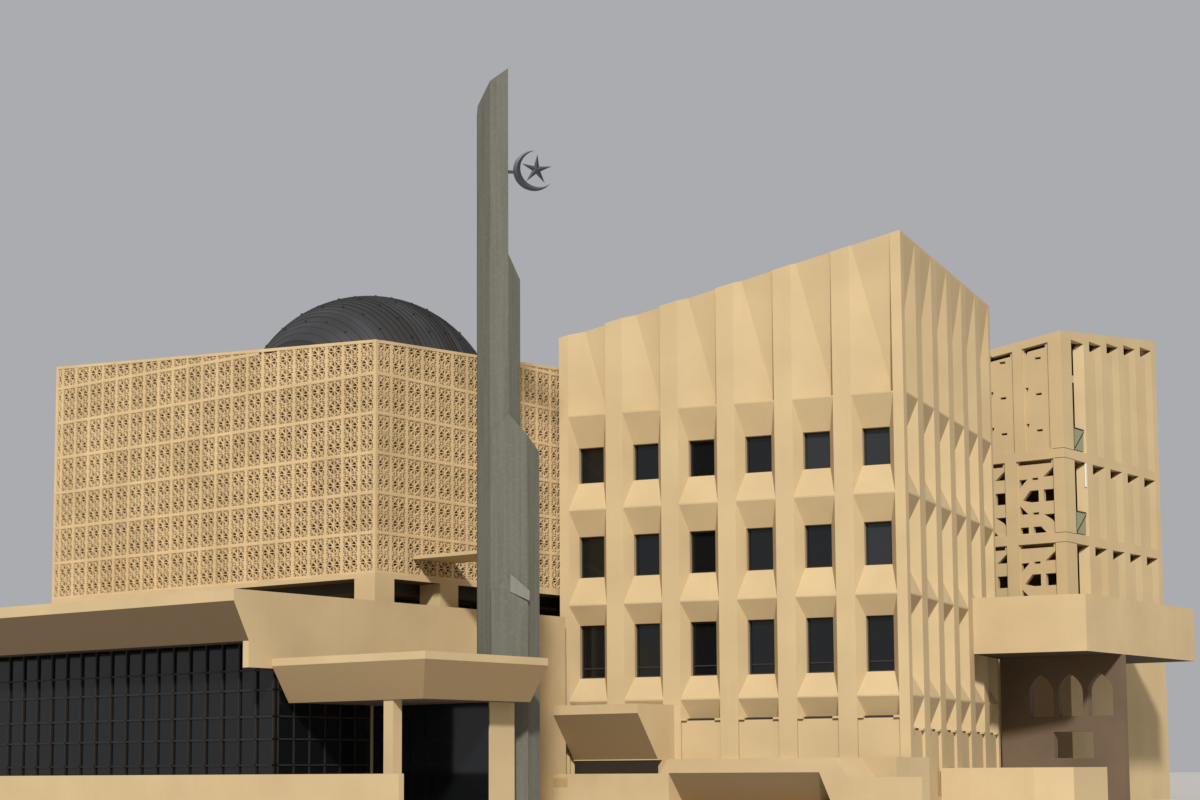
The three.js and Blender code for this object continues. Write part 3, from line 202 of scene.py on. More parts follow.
@dataclass(frozen=True)
class Wall:
    """A straight wall's own coordinates: a along it, d into it from its face, z up.

    Seen from outside, a runs to the right, so that a, d and z are right-handed.
    """

    origin: tuple[float, float]
    along: tuple[float, float]
    length: float

    def points(self, a: Reals, d: Reals, z: Reals) -> np.ndarray:
        """Plan points of the wall: origin + a times along + d times along turned left.

        Args:
            a: Metres along the wall.
            d: Metres into the wall.
            z: Heights.

        Returns:
            An array with the shared shape of a, d and z, and a last axis x, y, z.
        """
        a, d, z = np.broadcast_arrays(a, d, z)
        x = self.origin[0] + a * self.along[0] - d * self.along[1]
        y = self.origin[1] + a * self.along[1] + d * self.along[0]
        return np.stack((x, y, z), axis=-1)

    def bars(
        self, a0: Reals, a1: Reals, d0: Reals, d1: Reals, z0: Reals, z1: Reals,
        z0_end: Reals | None = None, z1_end: Reals | None = None,
    ) -> Surface:
        """Boxes set in the wall, one for each element of the arrays' shared shape.

        Args:
            a0: Where each box starts along the wall.
            a1: Where it ends along the wall.
            d0: The depth of its front.
            d1: The depth of its back.
            z0: The height of its foot at a0.
            z1: The height of its head at a0.
            z0_end: The height of its foot at a1, if that differs.
            z1_end: The height of its head at a1, if that differs.

        Returns:
            The boxes, in the wall's plan grid.
        """
        ends = (z0 if z0_end is None else z0_end, z1 if z1_end is None else z1_end)
        given = (a0, a1, d0, d1, z0, z1, *ends)
        values = np.broadcast_arrays(*(np.asarray(value, float) for value in given))
        a0, a1, d0, d1, z0, z1, z2, z3 = (value.ravel() for value in values)
        a = np.stack((a0, a1, a1, a0) * 2, axis=1)
        d = np.stack((d0, d0, d1, d1) * 2, axis=1)
        z = np.stack((z0, z2, z2, z0, z1, z3, z3, z1), axis=1)
        return hexahedra(self.points(a, d, z))


def rectangle_walls(x0: float, x1: float, y0: float, y1: float) -> dict[str, Wall]:
    """The four outer faces of a rectangular room, each with its own coordinates.

    Args:
        x0: Its left side.
        x1: Its right side.
        y0: Its front.
        y1: Its back.

    Returns:
        The walls named front, right, back and left.
    """
    return {
        "front": Wall((x0, y0), (1, 0), x1 - x0),
        "right": Wall((x1, y0), (0, 1), y1 - y0),
        "back": Wall((x1, y1), (-1, 0), x1 - x0),
        "left": Wall((x0, y1), (0, -1), y1 - y0),
    }


# Finishes


def linear(code: str) -> tuple[float, float, float, float]:
    """Turns an sRGB hex colour into the linear colour that a shader takes.

    Each channel v becomes ((v + 0.055) / 1.055) ** 2.4, or v / 12.92 up to 0.04045.

    Args:
        code: A colour such as "#DEBB8C".

    Returns:
        Red, green, blue and an alpha of one.
    """
    values = [int(code[i:i + 2], 16) / 255 for i in (1, 3, 5)]
    red, green, blue = (v / 12.92 if v <= 0.04045 else ((v + 0.055) / 1.055) ** 2.4 for v in values)
    return red, green, blue, 1.0


def add(
    tree: bpy.types.NodeTree, kind: str, settings: dict | None = None, links: dict | None = None,
) -> bpy.types.Node:
    """Adds one node to a material.

    Args:
        tree: The material's node tree.
        kind: The node's type name, without its ShaderNode prefix.
        settings: Values by input name or number, or by attribute name.
        links: Output sockets by the input name or number that each one feeds.

    Returns:
        The new node.
    """
    node = tree.nodes.new("ShaderNode" + kind)
    for key, value in (settings or {}).items():
        if isinstance(key, str) and hasattr(node, key):
            setattr(node, key, value)
        else:
            node.inputs[key].default_value = value
    for key, socket in (links or {}).items():
        tree.links.new(socket, node.inputs[key])
    return node


# Inputs and output of a Mix node that blends colours.
FACTOR = 0
COLOUR_A = 6
COLOUR_B = 7
BLENDED = 2
# A pattern's scale is this over the real size of its grain in millimetres.
GRAINS = 1 / (MM * MODEL_SCALE)


@dataclass(frozen=True)
class Share:
    """How much of a colour a pattern lays on: none at low, the most at high, even between."""

    low: float = 0.0
    high: float = 1.0
    most: float = 1.0


@dataclass(frozen=True)
class Finish:
    """What every finish has: its name, its main colour and how it is put together."""

    name: str
    colour: str
    roughness: float = 0.9

    def start(self) -> tuple[bpy.types.Material, bpy.types.NodeTree, bpy.types.NodeSocket]:
        """Makes an empty material.

        Returns:
            The material, its node tree and the socket of its object coordinates.
        """
        material = bpy.data.materials.new(self.name)
        material.use_nodes = True
        material.diffuse_color = linear(self.colour)
        tree = material.node_tree
        tree.nodes.clear()
        place = add(tree, "TexCoord").outputs["Object"]
        return material, tree, place

    def coat(
        self, pattern: bpy.types.NodeSocket, share: Share, colour: str,
        under: bpy.types.NodeSocket | None = None,
    ) -> bpy.types.NodeSocket:
        """Lays a second colour on, as far as a pattern goes.

        Args:
            pattern: The pattern's socket, in the material's node tree.
            share: How much of the colour the pattern lays on.
            colour: The colour laid on.
            under: The socket of the colour under it, if that isn't the main colour.

        Returns:
            The socket of both colours blended.
        """
        tree = pattern.id_data
        span = {"From Min": share.low, "From Max": share.high, "To Max": share.most}
        amount = add(tree, "MapRange", span, {"Value": pattern}).outputs["Result"]
        colours = {"data_type": "RGBA", COLOUR_A: linear(self.colour), COLOUR_B: linear(colour)}
        links = {FACTOR: amount}
        if under is not None:
            links[COLOUR_A] = under
        return add(tree, "Mix", colours, links).outputs[BLENDED]

    def end(self, tree: bpy.types.NodeTree, settings: dict, links: dict) -> None:
        """Adds the shader and the output.

        Args:
            tree: The material's node tree.
            settings: The shader's constant inputs.
            links: The sockets that feed the shader.
        """
        base = {"Base Color": linear(self.colour), "Roughness": self.roughness}
        shader = add(tree, "BsdfPrincipled", base | settings, links)
        add(tree, "OutputMaterial", {}, {"Surface": shader.outputs["BSDF"]})

    def make(self) -> bpy.types.Material:
        """Builds the material.

        Returns:
            The finished material.
        """
        raise NotImplementedError


@dataclass(frozen=True)
class PaintedRender(Finish):
    """Cement render, floated by hand and painted, matt.

    The float leaves soft clouds in the tone, rain draws pale and grey streaks
    straight down, and the grit gives a fine stipple.
    """

    cloud: str = "#BBA278"
    streak: str = "#B59C73"
    cant_shade: str | None = None
    soffit_shade: str | None = None
    cloud_mm: float = 2600.0
    cloud_share: Share = Share(0.35, 0.7)
    streak_mm: float = 500.0
    streak_share: Share = Share(0.55, 0.85, 0.3)
    # How fast the streaks change going down the wall, as a share of going across it.
    streak_slowing: float = 0.06
    # Painted shade: a face takes the darker cant or soffit colour where its normal's height is below these.
    cant_shade_below: float = -0.2
    soffit_shade_below: float = -0.9
    # Real stipple is about 4 mm. It is drawn at 60 mm so that it shows from the street.
    stipple_mm: float = 60.0
    stipple_depth_mm: float = 1.5

    def make(self) -> bpy.types.Material:
        """Builds the material: clouds, then streaks, then painted shade on faces that look down.

        Returns:
            The finished material.
        """
        material, tree, place = self.start()
        clouds = add(tree, "TexNoise", {"Scale": GRAINS / self.cloud_mm, "Detail": 3.0}, {"Vector": place})
        colour = self.coat(clouds.outputs["Fac"], self.cloud_share, self.cloud)
        slow = add(tree, "Mapping", {"Scale": (1.0, 1.0, self.streak_slowing)}, {"Vector": place})
        streaks = add(
            tree, "TexNoise", {"Scale": GRAINS / self.streak_mm, "Detail": 2.0},
            {"Vector": slow.outputs["Vector"]},
        )
        colour = self.coat(streaks.outputs["Fac"], self.streak_share, self.streak, colour)
        facing = add(tree, "NewGeometry").outputs["True Normal"]
        height = add(tree, "SeparateXYZ", {}, {"Vector": facing}).outputs["Z"]
        # Painted shade: faces that look down take the cant or soffit colour.
        for shade, below in ((self.cant_shade, self.cant_shade_below), (self.soffit_shade, self.soffit_shade_below)):
            if shade:
                under = add(tree, "Math", {"operation": "LESS_THAN", 1: below}, {0: height})
                mixed = add(
                    tree, "Mix", {"data_type": "RGBA", COLOUR_B: linear(shade)},
                    {FACTOR: under.outputs["Value"], COLOUR_A: colour},
                )
                colour = mixed.outputs[BLENDED]
        grit = add(tree, "TexNoise", {"Scale": GRAINS / self.stipple_mm, "Detail": 2.0}, {"Vector": place})
        bump = add(
            tree, "Bump", {"Strength": 0.5, "Distance": self.stipple_depth_mm * MM},
            {"Height": grit.outputs["Fac"]},
        )
        self.end(tree, {}, {"Base Color": colour, "Normal": bump.outputs["Normal"]})
        return material


@dataclass(frozen=True)
class CastScreen(Finish):
    """Cast concrete screen blocks, painted.

    Each block was cast and set by itself, so its tone differs a little from the next.
    """

    dark: str = "#AE9468"
    block_mm: float = 1570.0
    block_share: Share = Share(most=0.35)
    cloud_share: Share = Share(0.45, 0.75, 0.5)

    def make(self) -> bpy.types.Material:
        """Builds the material: one random tone for each block, then soft clouds over all.

        Returns:
            The finished material.
        """
        material, tree, place = self.start()
        step = self.block_mm * MM * MODEL_SCALE
        blocks = add(tree, "VectorMath", {"operation": "SNAP", 1: (step, step, step)}, {0: place})
        tones = add(tree, "TexWhiteNoise", {}, {"Vector": blocks.outputs["Vector"]})
        tone = self.coat(tones.outputs["Value"], self.block_share, self.dark)
        clouds = add(tree, "TexNoise", {"Scale": GRAINS / self.block_mm, "Detail": 4.0}, {"Vector": place})
        worn = self.coat(clouds.outputs["Fac"], self.cloud_share, self.dark, tone)
        self.end(tree, {}, {"Base Color": worn})
        return material


@dataclass(frozen=True)
class StoneCoating(Finish):
    """Olive grey textured coating, sprayed over concrete.

    The grains give a speckle, and rain leaves long pale and dark runs down the faces.
    """

    dark: str = "#55533F"
    light: str = "#85836F"
    # Real grains are 3 mm. They are drawn at 90 mm so that they show from the street.
    grain_mm: float = 90.0
    grain_share: Share = Share(0.5, 0.8, 0.6)
    grain_depth_mm: float = 2.0
    run_mm: float = 160.0
    run_share: Share = Share(0.4, 0.75)
    # How fast the runs change going down a face, as a share of going across it.
    run_slowing: float = 0.04

    def make(self) -> bpy.types.Material:
        """Builds the material: runs, then speckle, over the main colour.

        Returns:
            The finished material.
        """
        material, tree, place = self.start()
        slow = add(tree, "Mapping", {"Scale": (1.0, 1.0, self.run_slowing)}, {"Vector": place})
        runs = add(
            tree, "TexNoise", {"Scale": GRAINS / self.run_mm, "Detail": 3.0},
            {"Vector": slow.outputs["Vector"]},
        )
        tone = self.coat(runs.outputs["Fac"], self.run_share, self.dark)
        noise = add(tree, "TexNoise", {"Scale": GRAINS / self.grain_mm, "Detail": 2.0}, {"Vector": place})
        grains = noise.outputs["Fac"]
        speckled = self.coat(grains, self.grain_share, self.light, tone)
        bump = add(
            tree, "Bump", {"Strength": 0.4, "Distance": self.grain_depth_mm * MM}, {"Height": grains}
        )
        self.end(tree, {}, {"Base Color": speckled, "Normal": bump.outputs["Normal"]})
        return material


@dataclass(frozen=True)
class SeamedMetal(Finish):
    """Coated metal sheet, rolled and folded into standing seams.

    Each sheet weathers by itself, so that the tone changes from seam to seam.
    """

    pale: str = "#56555A"
    metallic: float = 0.6
    sheet_mm: float = 400.0
    # Three clouds of dust fit in five metres.
    dust_mm: float = 5000.0 / 3
    # A step longer than the building, along the axes where a sheet doesn't end.
    no_end: float = 1000.0

    def make(self) -> bpy.types.Material:
        """Builds the material: one tone for each sheet, with a dusty cloud over all.

        Returns:
            The finished material.
        """
        material, tree, place = self.start()
        step = (self.no_end, self.sheet_mm * MM * MODEL_SCALE, self.no_end)
        sheets = add(tree, "VectorMath", {"operation": "SNAP", 1: step}, {0: place})
        tones = add(tree, "TexWhiteNoise", {}, {"Vector": sheets.outputs["Vector"]})
        dust = add(tree, "TexNoise", {"Scale": GRAINS / self.dust_mm, "Detail": 4.0}, {"Vector": place})
        share = add(
            tree, "Math", {"operation": "MULTIPLY"},
            {0: tones.outputs["Value"], 1: dust.outputs["Fac"]},
        )
        tone = add(
            tree, "Mix", {"data_type": "RGBA", COLOUR_A: linear(self.colour), COLOUR_B: linear(self.pale)},
            {FACTOR: share.outputs["Value"]},
        )
        self.end(tree, {"Metallic": self.metallic}, {"Base Color": tone.outputs[BLENDED]})
        return material


@dataclass(frozen=True)
class TintedGlass(Finish):
    """Float glass with a dark tint, toughened.

    Toughening leaves it faintly wavy, so that what it mirrors bends a little.
    """

    ior: float = 1.5
    wave_mm: float = 700.0
    wave_depth_mm: float = 4.0

    def make(self) -> bpy.types.Material:
        """Builds the material: a dark body with a sharp gloss and a slight wave.

        Returns:
            The finished material.
        """
        material, tree, place = self.start()
        waves = add(tree, "TexNoise", {"Scale": GRAINS / self.wave_mm, "Detail": 0.0}, {"Vector": place})
        bump = add(
            tree, "Bump", {"Strength": 0.15, "Distance": self.wave_depth_mm * MM},
            {"Height": waves.outputs["Fac"]},
        )
        self.end(tree, {"IOR": self.ior}, {"Normal": bump.outputs["Normal"]})
        return material


@dataclass(frozen=True)
class MetalFinish(Finish):
    """Metal, brushed or powder coated, with the marks of weather and hands.

    The marks change its gloss in soft patches.
    """

    metallic: float = 1.0
    patch_mm: float = 300.0
    patch_roughness: float = 0.15

    def make(self) -> bpy.types.Material:
        """Builds the material: a plain body whose roughness wanders in patches.

        Returns:
            The finished material.
        """
        material, tree, place = self.start()
        patches = add(tree, "TexNoise", {"Scale": GRAINS / self.patch_mm, "Detail": 3.0}, {"Vector": place})
        gloss = add(
            tree, "MapRange",
            {"To Min": self.roughness, "To Max": self.roughness + self.patch_roughness},
            {"Value": patches.outputs["Fac"]},
        )
        self.end(tree, {"Metallic": self.metallic}, {"Roughness": gloss.outputs["Result"]})
        return material


@dataclass(frozen=True)
class Soil(Finish):
    """Dark planting soil, raked, with drier crumbs on top.

    The crumbs show as paler, raised grains over a rough dark ground.
    """

    crumb: str = "#6B5238"
    crumb_mm: float = 120.0
    crumb_depth_mm: float = 10.0

    def make(self) -> bpy.types.Material:
        """Builds the material: crumbs in a pattern of cells, darker towards each cell's edge.

        Returns:
            The finished material.
        """
        material, tree, place = self.start()
        cells = add(tree, "TexVoronoi", {"Scale": GRAINS / self.crumb_mm}, {"Vector": place})
        edge = cells.outputs["Distance"]
        tone = add(
            tree, "Mix", {"data_type": "RGBA", COLOUR_A: linear(self.crumb), COLOUR_B: linear(self.colour)},
            {FACTOR: edge},
        )
        bump = add(
            tree, "Bump", {"Strength": 0.8, "Distance": self.crumb_depth_mm * MM}, {"Height": edge}
        )
        self.end(tree, {}, {"Base Color": tone.outputs[BLENDED], "Normal": bump.outputs["Normal"]})
        return material


class Paint(Enum):
    """The finishes of this building: real materials, some of them also carrying painted shade or painted
    light.
    """

    RENDER = PaintedRender("painted cement render", "#C3AA7E")
    # The cant and soffit colours are painted shade on faces that look down.
    PARAPET = PaintedRender("painted parapet render", "#C6AC80", cant_shade="#6D583D", soffit_shade="#46382A")
    LEDGE = PaintedRender("painted ledge render", "#C4AB80", cant_shade="#AC9067", soffit_shade="#5A4A36")
    PLANTER = PaintedRender("painted planter render", "#C4AB80", cant_shade="#927B58", soffit_shade="#46382A")
    BROWN = PaintedRender("brown painted render", "#6E5B45", cloud="#65523E", streak="#5C4A38")
    # Painted shade: dark boards that stand behind openings where only shade shows.
    DARK_BROWN = PaintedRender("dark board of painted shade", "#3A2F24", cloud="#332A20", streak="#2C241B")
    SCREEN = CastScreen("painted cast screen", "#D0B386")
    COATING = StoneCoating("olive sprayed coating", "#636156", dark="#595748", light="#716F60")
    # Painted light: a paler copy of the coating for a lit slanting face.
    PALE_COATING = StoneCoating("olive sprayed coating painted lit", "#7C7A6E", dark="#716F63", light="#86847A")
    DOME = SeamedMetal("coated standing seam sheet", "#3B3936", roughness=0.45)
    GLASS = TintedGlass("dark tinted glass", "#0E1011", roughness=0.08)
    BLIND_GLASS = TintedGlass("tinted glass over a grey blind", "#26282A", roughness=0.12)
    RAILING_GLASS = TintedGlass("pale green glass", "#8F8A66", roughness=0.4)
    # Also dark bars of painted shade: in the block's slots, in the planters' gap and round the hall's deep
    # floor.
    BRONZE = MetalFinish("bronze coated aluminium", "#2E2823", roughness=0.5, metallic=0.3)
    VENT = MetalFinish("painted steel vent plate", "#AD9462", roughness=0.6, metallic=0.0)
    LAMP = MetalFinish("white enamelled lamp tube", "#E6E2D6", roughness=0.4, metallic=0.0)
    STEEL = MetalFinish("satin stainless steel", "#55565A", roughness=0.35)
    SOIL = Soil("planting soil", "#33261A")

    def material(self) -> bpy.types.Material:
        """The material, made once and then shared."""
        found = bpy.data.materials.get(self.value.name)
        return found or self.value.make()


class Slot(Enum):
    """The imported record's material slots."""

    RENDER = "render"
    SCREEN = "screen"
    GLASS = "glass"
    DOME = "dome"
    MINARET = "minaret"
    STEEL = "steel"


def mesh_piece(
    name: str, surface: Surface, paint: Paint, replaces: tuple[str, ...] = (),
    grid: Grid = HALL_GRID, smooth_degrees: float = 0.0,
) -> bpy.types.Object:
    """Makes a finished piece from a surface.

    Args:
        name: The piece's name.
        surface: Its shape, in real metres in its grid.
        paint: Its finish.
        replaces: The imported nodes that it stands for.
        grid: The plan grid that its metres are in.
        smooth_degrees: Edges flatter than this are shaded smooth, or none at zero.

    Returns:
        The piece, riding on the building.
    """
    mesh = bpy.data.meshes.new(name)
    loops = np.concatenate([group.ravel() for group in surface.faces])
    totals = np.concatenate([np.full(len(group), group.shape[1]) for group in surface.faces])
    mesh.vertices.add(len(surface.points))
    mesh.vertices.foreach_set("co", grid.place(surface.points).astype(np.float32).ravel())
    mesh.loops.add(len(loops))
    mesh.loops.foreach_set("vertex_index", loops.astype(np.int32))
    mesh.polygons.add(len(totals))
    mesh.polygons.foreach_set("loop_start", (np.cumsum(totals) - totals).astype(np.int32))
    mesh.polygons.foreach_set("loop_total", totals.astype(np.int32))
    mesh.update(calc_edges=True)
    mesh.validate()
    if smooth_degrees:
        shaped = bmesh.new()
        shaped.from_mesh(mesh)
        bmesh.ops.remove_doubles(shaped, verts=shaped.verts, dist=MERGE_DISTANCE)
        bmesh.ops.recalc_face_normals(shaped, faces=shaped.faces)
        shaped.to_mesh(mesh)
        shaped.free()
        mesh.shade_smooth()
        mesh.set_sharp_from_angle(angle=math.radians(smooth_degrees))
    else:
        mesh.shade_flat()
    piece = bpy.data.objects.new(name, mesh)
    bpy.context.scene.collection.objects.link(piece)
    mesh.materials.append(paint.material())
    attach(piece, "root")
    if replaces:
        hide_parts(*replaces)
    LOG.info("%s: %d triangles", name, int((totals - 2).sum()))
    return piece


# Prayer hall


# The faces of a triangular frame: its outer and then its inner corners in front, and
# the same behind. They are its front, its back and the sides of its hole.
FRAME_FACES = np.array((
    (0, 1, 4, 3), (1, 2, 5, 4), (2, 0, 3, 5), (9, 10, 7, 6), (10, 11, 8, 7), (11, 9, 6, 8),
    (3, 4, 10, 9), (4, 5, 11, 10), (5, 3, 9, 11),
))


@dataclass
class PrayerHall:
    """The square hall: its pierced screens and what shows behind them."""

    x0: float = -18.4
    x1: float = 1.2
    y0: float = -18.1
    y1: float = 1.5
    foot: float = 9.35
    top_near: float = 18.55
    rise_x: float = 0.065
    rise_y: float = 0.05
    depth: float = 0.35
    panels: int = 21
    # Counted from the corner by the street, the panels leave a narrow strip at the far
    # end of each face. It is one quarter of a star wide.
    strip: float = 0.45
    mullion: float = 0.11
    mullion_front: float = 0.006
    mullion_depth: float = 0.2
    band_pitch: float = 1.57
    band: float = 0.12
    # The lowest band starts this far under the screens' foot, hidden by the floor's edge.
    band_drop: float = 0.03
    coping: float = 0.12
    post: float = 0.14
    post_front: float = 0.003
    quarters_up: int = 4
    # Dark boards of painted shade that close the screens' backs over the roof.
    shade_board_foot: float = 17.6
    shade_board_front: float = 0.205
    shade_board_back: float = 0.245
    cell_front: float = 0.015
    cell_back: float = 0.1
    rib: float = 0.018
    # A quarter of the star: the triangles of a unit square whose first corner is the
    # star's centre, each turning left.
    triangles: tuple[tuple[tuple[float, float], ...], ...] = (
        ((0, 0), (1, 0), (0.5, 0.5)), ((0, 0), (0.5, 0.5), (0, 1)),
        ((0.5, 0.5), (1, 1), (0.5, 1)), ((0.5, 0.5), (1, 0.5), (1, 1)),
        ((0, 1), (0.5, 0.5), (0.5, 1)), ((1, 0), (1, 0.5), (0.5, 0.5)),
    )

    def walls(self) -> dict[str, Wall]:
        """The hall's four outer faces."""
        return rectangle_walls(self.x0, self.x1, self.y0, self.y1)

    def top(self, wall: Wall, a: Reals) -> np.ndarray:
        """Height of the screen's top: a plane that climbs to the left and to the back.

        Args:
            wall: The face.
            a: Metres along it.

        Returns:
            The height at each place.
        """
        place = wall.points(a, 0.0, 0.0)
        left = self.x1 - place[..., 0]
        back = place[..., 1] - self.y0
        return self.top_near + self.rise_x * left + self.rise_y * back

    def under_coping(self, wall: Wall, a: Reals) -> np.ndarray:
        """Height of the coping's underside on a face: the top less the coping."""
        return self.top(wall, a) - self.coping

    def uprights(self, wall: Wall, a0: Reals, a1: Reals, d0: float, d1: float, foot: float) -> Surface:
        """Boxes from a level foot up to the coping's sloping underside.

        Args:
            wall: The face that holds them.
            a0: Where each one starts along the wall.
            a1: Where it ends.
            d0: The depth of its front.
            d1: The depth of its back.
            foot: The height of its foot.

        Returns:
            The boxes.
        """
        heads = self.under_coping(wall, a0), self.under_coping(wall, a1)
        return wall.bars(a0, a1, d0, d1, foot, heads[0], foot, heads[1])

    def bands(self, wall: Wall) -> np.ndarray:
        """Heights of the feet of a face's level bands, at an even pitch up to its coping."""
        ends = self.under_coping(wall, np.array((self.post, wall.length - self.post)))
        return np.arange(self.foot - self.band_drop, float(ends.max()), self.band_pitch)

    def band_bars(self, wall: Wall, start: float, end: float) -> Surface:
        """The level bands: each one ends where its head would pass the coping's underside.

        Args:
            wall: The face that holds them.
            start: Where they start along it.
            end: Where they end along it.

        Returns:
            The bands that are longer than they are high.
        """
        bands = self.bands(wall)
        rise = float(self.top(wall, end)) - float(self.top(wall, start))
        slope = rise / (end - start)
        low = min(float(self.top(wall, start)), float(self.top(wall, end))) - self.coping
        head = bands + self.band
        short = np.clip((head - low) / abs(slope), 0, end - start)
        first = np.where(slope > 0, start + short, start)
        second = np.where(slope > 0, end, end - short)
        kept = second - first > self.band
        foot = np.maximum(bands, self.foot)
        return wall.bars(first[kept], second[kept], 0.0, self.depth, foot[kept], head[kept])

    def quarter_frames(
        self, wall: Wall, a: np.ndarray, width: np.ndarray, z: np.ndarray, height: float,
        right: np.ndarray, upper: np.ndarray,
    ) -> Surface:
        """Quarters of the star: six triangles each, and each one a frame round a hole.

        A triangle's hole is the triangle shrunk to its inner circle's centre by
        1 - rib / inner radius, so that all the ribs between holes are equally wide.
        Points over the coping's middle come down to it.

        Args:
            wall: The face that holds them.
            a: Where each quarter starts along the wall.
            width: Each quarter's width.
            z: The height of each quarter's foot.
            height: The height of every quarter.
            right: Whether it lies right of its star's centre.
            upper: Whether it lies over its star's centre.

        Returns:
            The quarters of one face, open where they meet each other.
        """
        size = np.stack((width, np.full(len(a), height)), axis=-1)[:, None, None]
        outer = np.array(self.triangles)[None] * size
        opposite = np.roll(outer, -1, axis=2) - np.roll(outer, -2, axis=2)
        sides = np.linalg.norm(opposite, axis=-1)[..., None]
        centre = (outer * sides).sum(axis=2, keepdims=True) / sides.sum(axis=2, keepdims=True)
        first, second = outer[:, :, 1] - outer[:, :, 0], outer[:, :, 2] - outer[:, :, 0]
        twice_area = first[..., 0] * second[..., 1] - first[..., 1] * second[..., 0]
        share = 1 - self.rib * sides.sum(axis=(2, 3)) / twice_area
        inner = centre + (outer - centre) * share[..., None, None]
        ring = np.concatenate((outer, inner), axis=2)
        u = np.where(right[:, None, None], ring[..., 0], width[:, None, None] - ring[..., 0])
        v = np.where(upper[:, None, None], ring[..., 1], height - ring[..., 1])
        along = (a[:, None, None] + u).reshape(-1, ring.shape[2])
        limit = self.top(wall, along) - self.coping / 2
        level = np.minimum((z[:, None, None] + v).reshape(-1, ring.shape[2]), limit)
        shown = (level[:, :3] < limit[:, :3]).any(axis=1)
        along, level = along[shown], level[shown]
        turned = np.repeat(right != upper, len(self.triangles))[shown]
        front = wall.points(along, self.cell_front, level)
        back = wall.points(along, self.cell_back, level)
        points = np.concatenate((front, back), axis=1)
        starts = points.shape[1] * np.arange(len(points))
        faces = [
            (order[None] + starts[part][:, None, None]).reshape(-1, order.shape[1])
            for part, order in ((~turned, FRAME_FACES), (turned, FRAME_FACES[:, ::-1]))
        ]
        return Surface(points.reshape(-1, 3), faces)

    def pattern(self, wall: Wall, left: np.ndarray, right: np.ndarray, strip_first: bool) -> Surface:
        """The star pattern of one face: two quarters side by side in each panel, four up.

        Args:
            wall: The face that holds it.
            left: Where each mullion starts along the wall.
            right: Where each mullion ends.
            strip_first: Whether the narrow strip is at the face's left end.

        Returns:
            The quarters whose foot is under the coping.
        """
        starts = np.concatenate(((self.post,), right))
        ends = np.concatenate((left, (wall.length - self.post,)))
        counts = np.full(len(starts), 2)
        counts[0 if strip_first else -1] = 1
        panel = np.repeat(np.arange(len(counts)), counts)
        column = np.concatenate([np.arange(count) for count in counts])
        width = ((ends - starts) / counts)[panel]
        a = starts[panel] + column * width
        height = (self.band_pitch - self.band) / self.quarters_up
        foot, row = np.meshgrid(self.bands(wall) + self.band, np.arange(self.quarters_up), indexing="ij")
        z = (foot + row * height).ravel()
        upper = row.ravel() % 2 == 1
        limit = np.maximum(self.under_coping(wall, a), self.under_coping(wall, a + width))
        i, j = np.nonzero(z[None] < limit[:, None])
        return self.quarter_frames(wall, a[i], width[i], z[j], height, column[i] == 1, upper[j])

    def screen(self, wall: Wall, strip_first: bool, corner: float) -> Surface:
        """One face of the hall: bands, mullions, pierced panels, coping and corner posts.

        The parts stand at slightly different depths, so that no two faces coincide.

        Args:
            wall: The face.
            strip_first: Whether the narrow strip is at its left end, not its right one.
            corner: How far its bands and coping stop short of each end.

        Returns:
            The whole screen.
        """
        length = wall.length
        end = length - corner
        mullions = self.strip + (length - self.strip) / self.panels * np.arange(self.panels)
        if not strip_first:
            mullions = length - mullions[::-1]
        left = mullions - self.mullion / 2
        right = mullions + self.mullion / 2
        parts = [
            self.pattern(wall, left, right, strip_first),
            self.uprights(wall, left, right, self.mullion_front, self.mullion_depth, self.foot),
            self.band_bars(wall, corner, end),
            wall.bars(
                corner, end, 0.0, self.depth, self.under_coping(wall, corner), self.top(wall, corner),
                self.under_coping(wall, end), self.top(wall, end),
            ),
        ]
        if corner == 0.0:
            posts = np.array((self.post_front, length - self.post))
            post_ends = posts + self.post - self.post_front
            parts.append(self.uprights(wall, posts, post_ends, self.post_front, self.post, self.foot))
        return Surface.join(parts)

    def build(self) -> None:
        """Builds the four screens and the dark boards of painted shade behind their tops."""
        shade_boards = []
        for name, wall in self.walls().items():
            end = wall.length - self.depth
            shade_boards.append(
                self.uprights(wall, self.depth, end, self.shade_board_front, self.shade_board_back, self.shade_board_foot)
            )
            corner = 0.0 if name in ("front", "back") else self.depth
            screen = self.screen(wall, name in ("front", "left"), corner)
            mesh_piece(
                f"pierced_screen_{name}", screen, Paint.SCREEN, (f"hall_screen_{name}",),
            )
        mesh_piece("screen_shade_backing", Surface.join(shade_boards), Paint.DARK_BROWN)


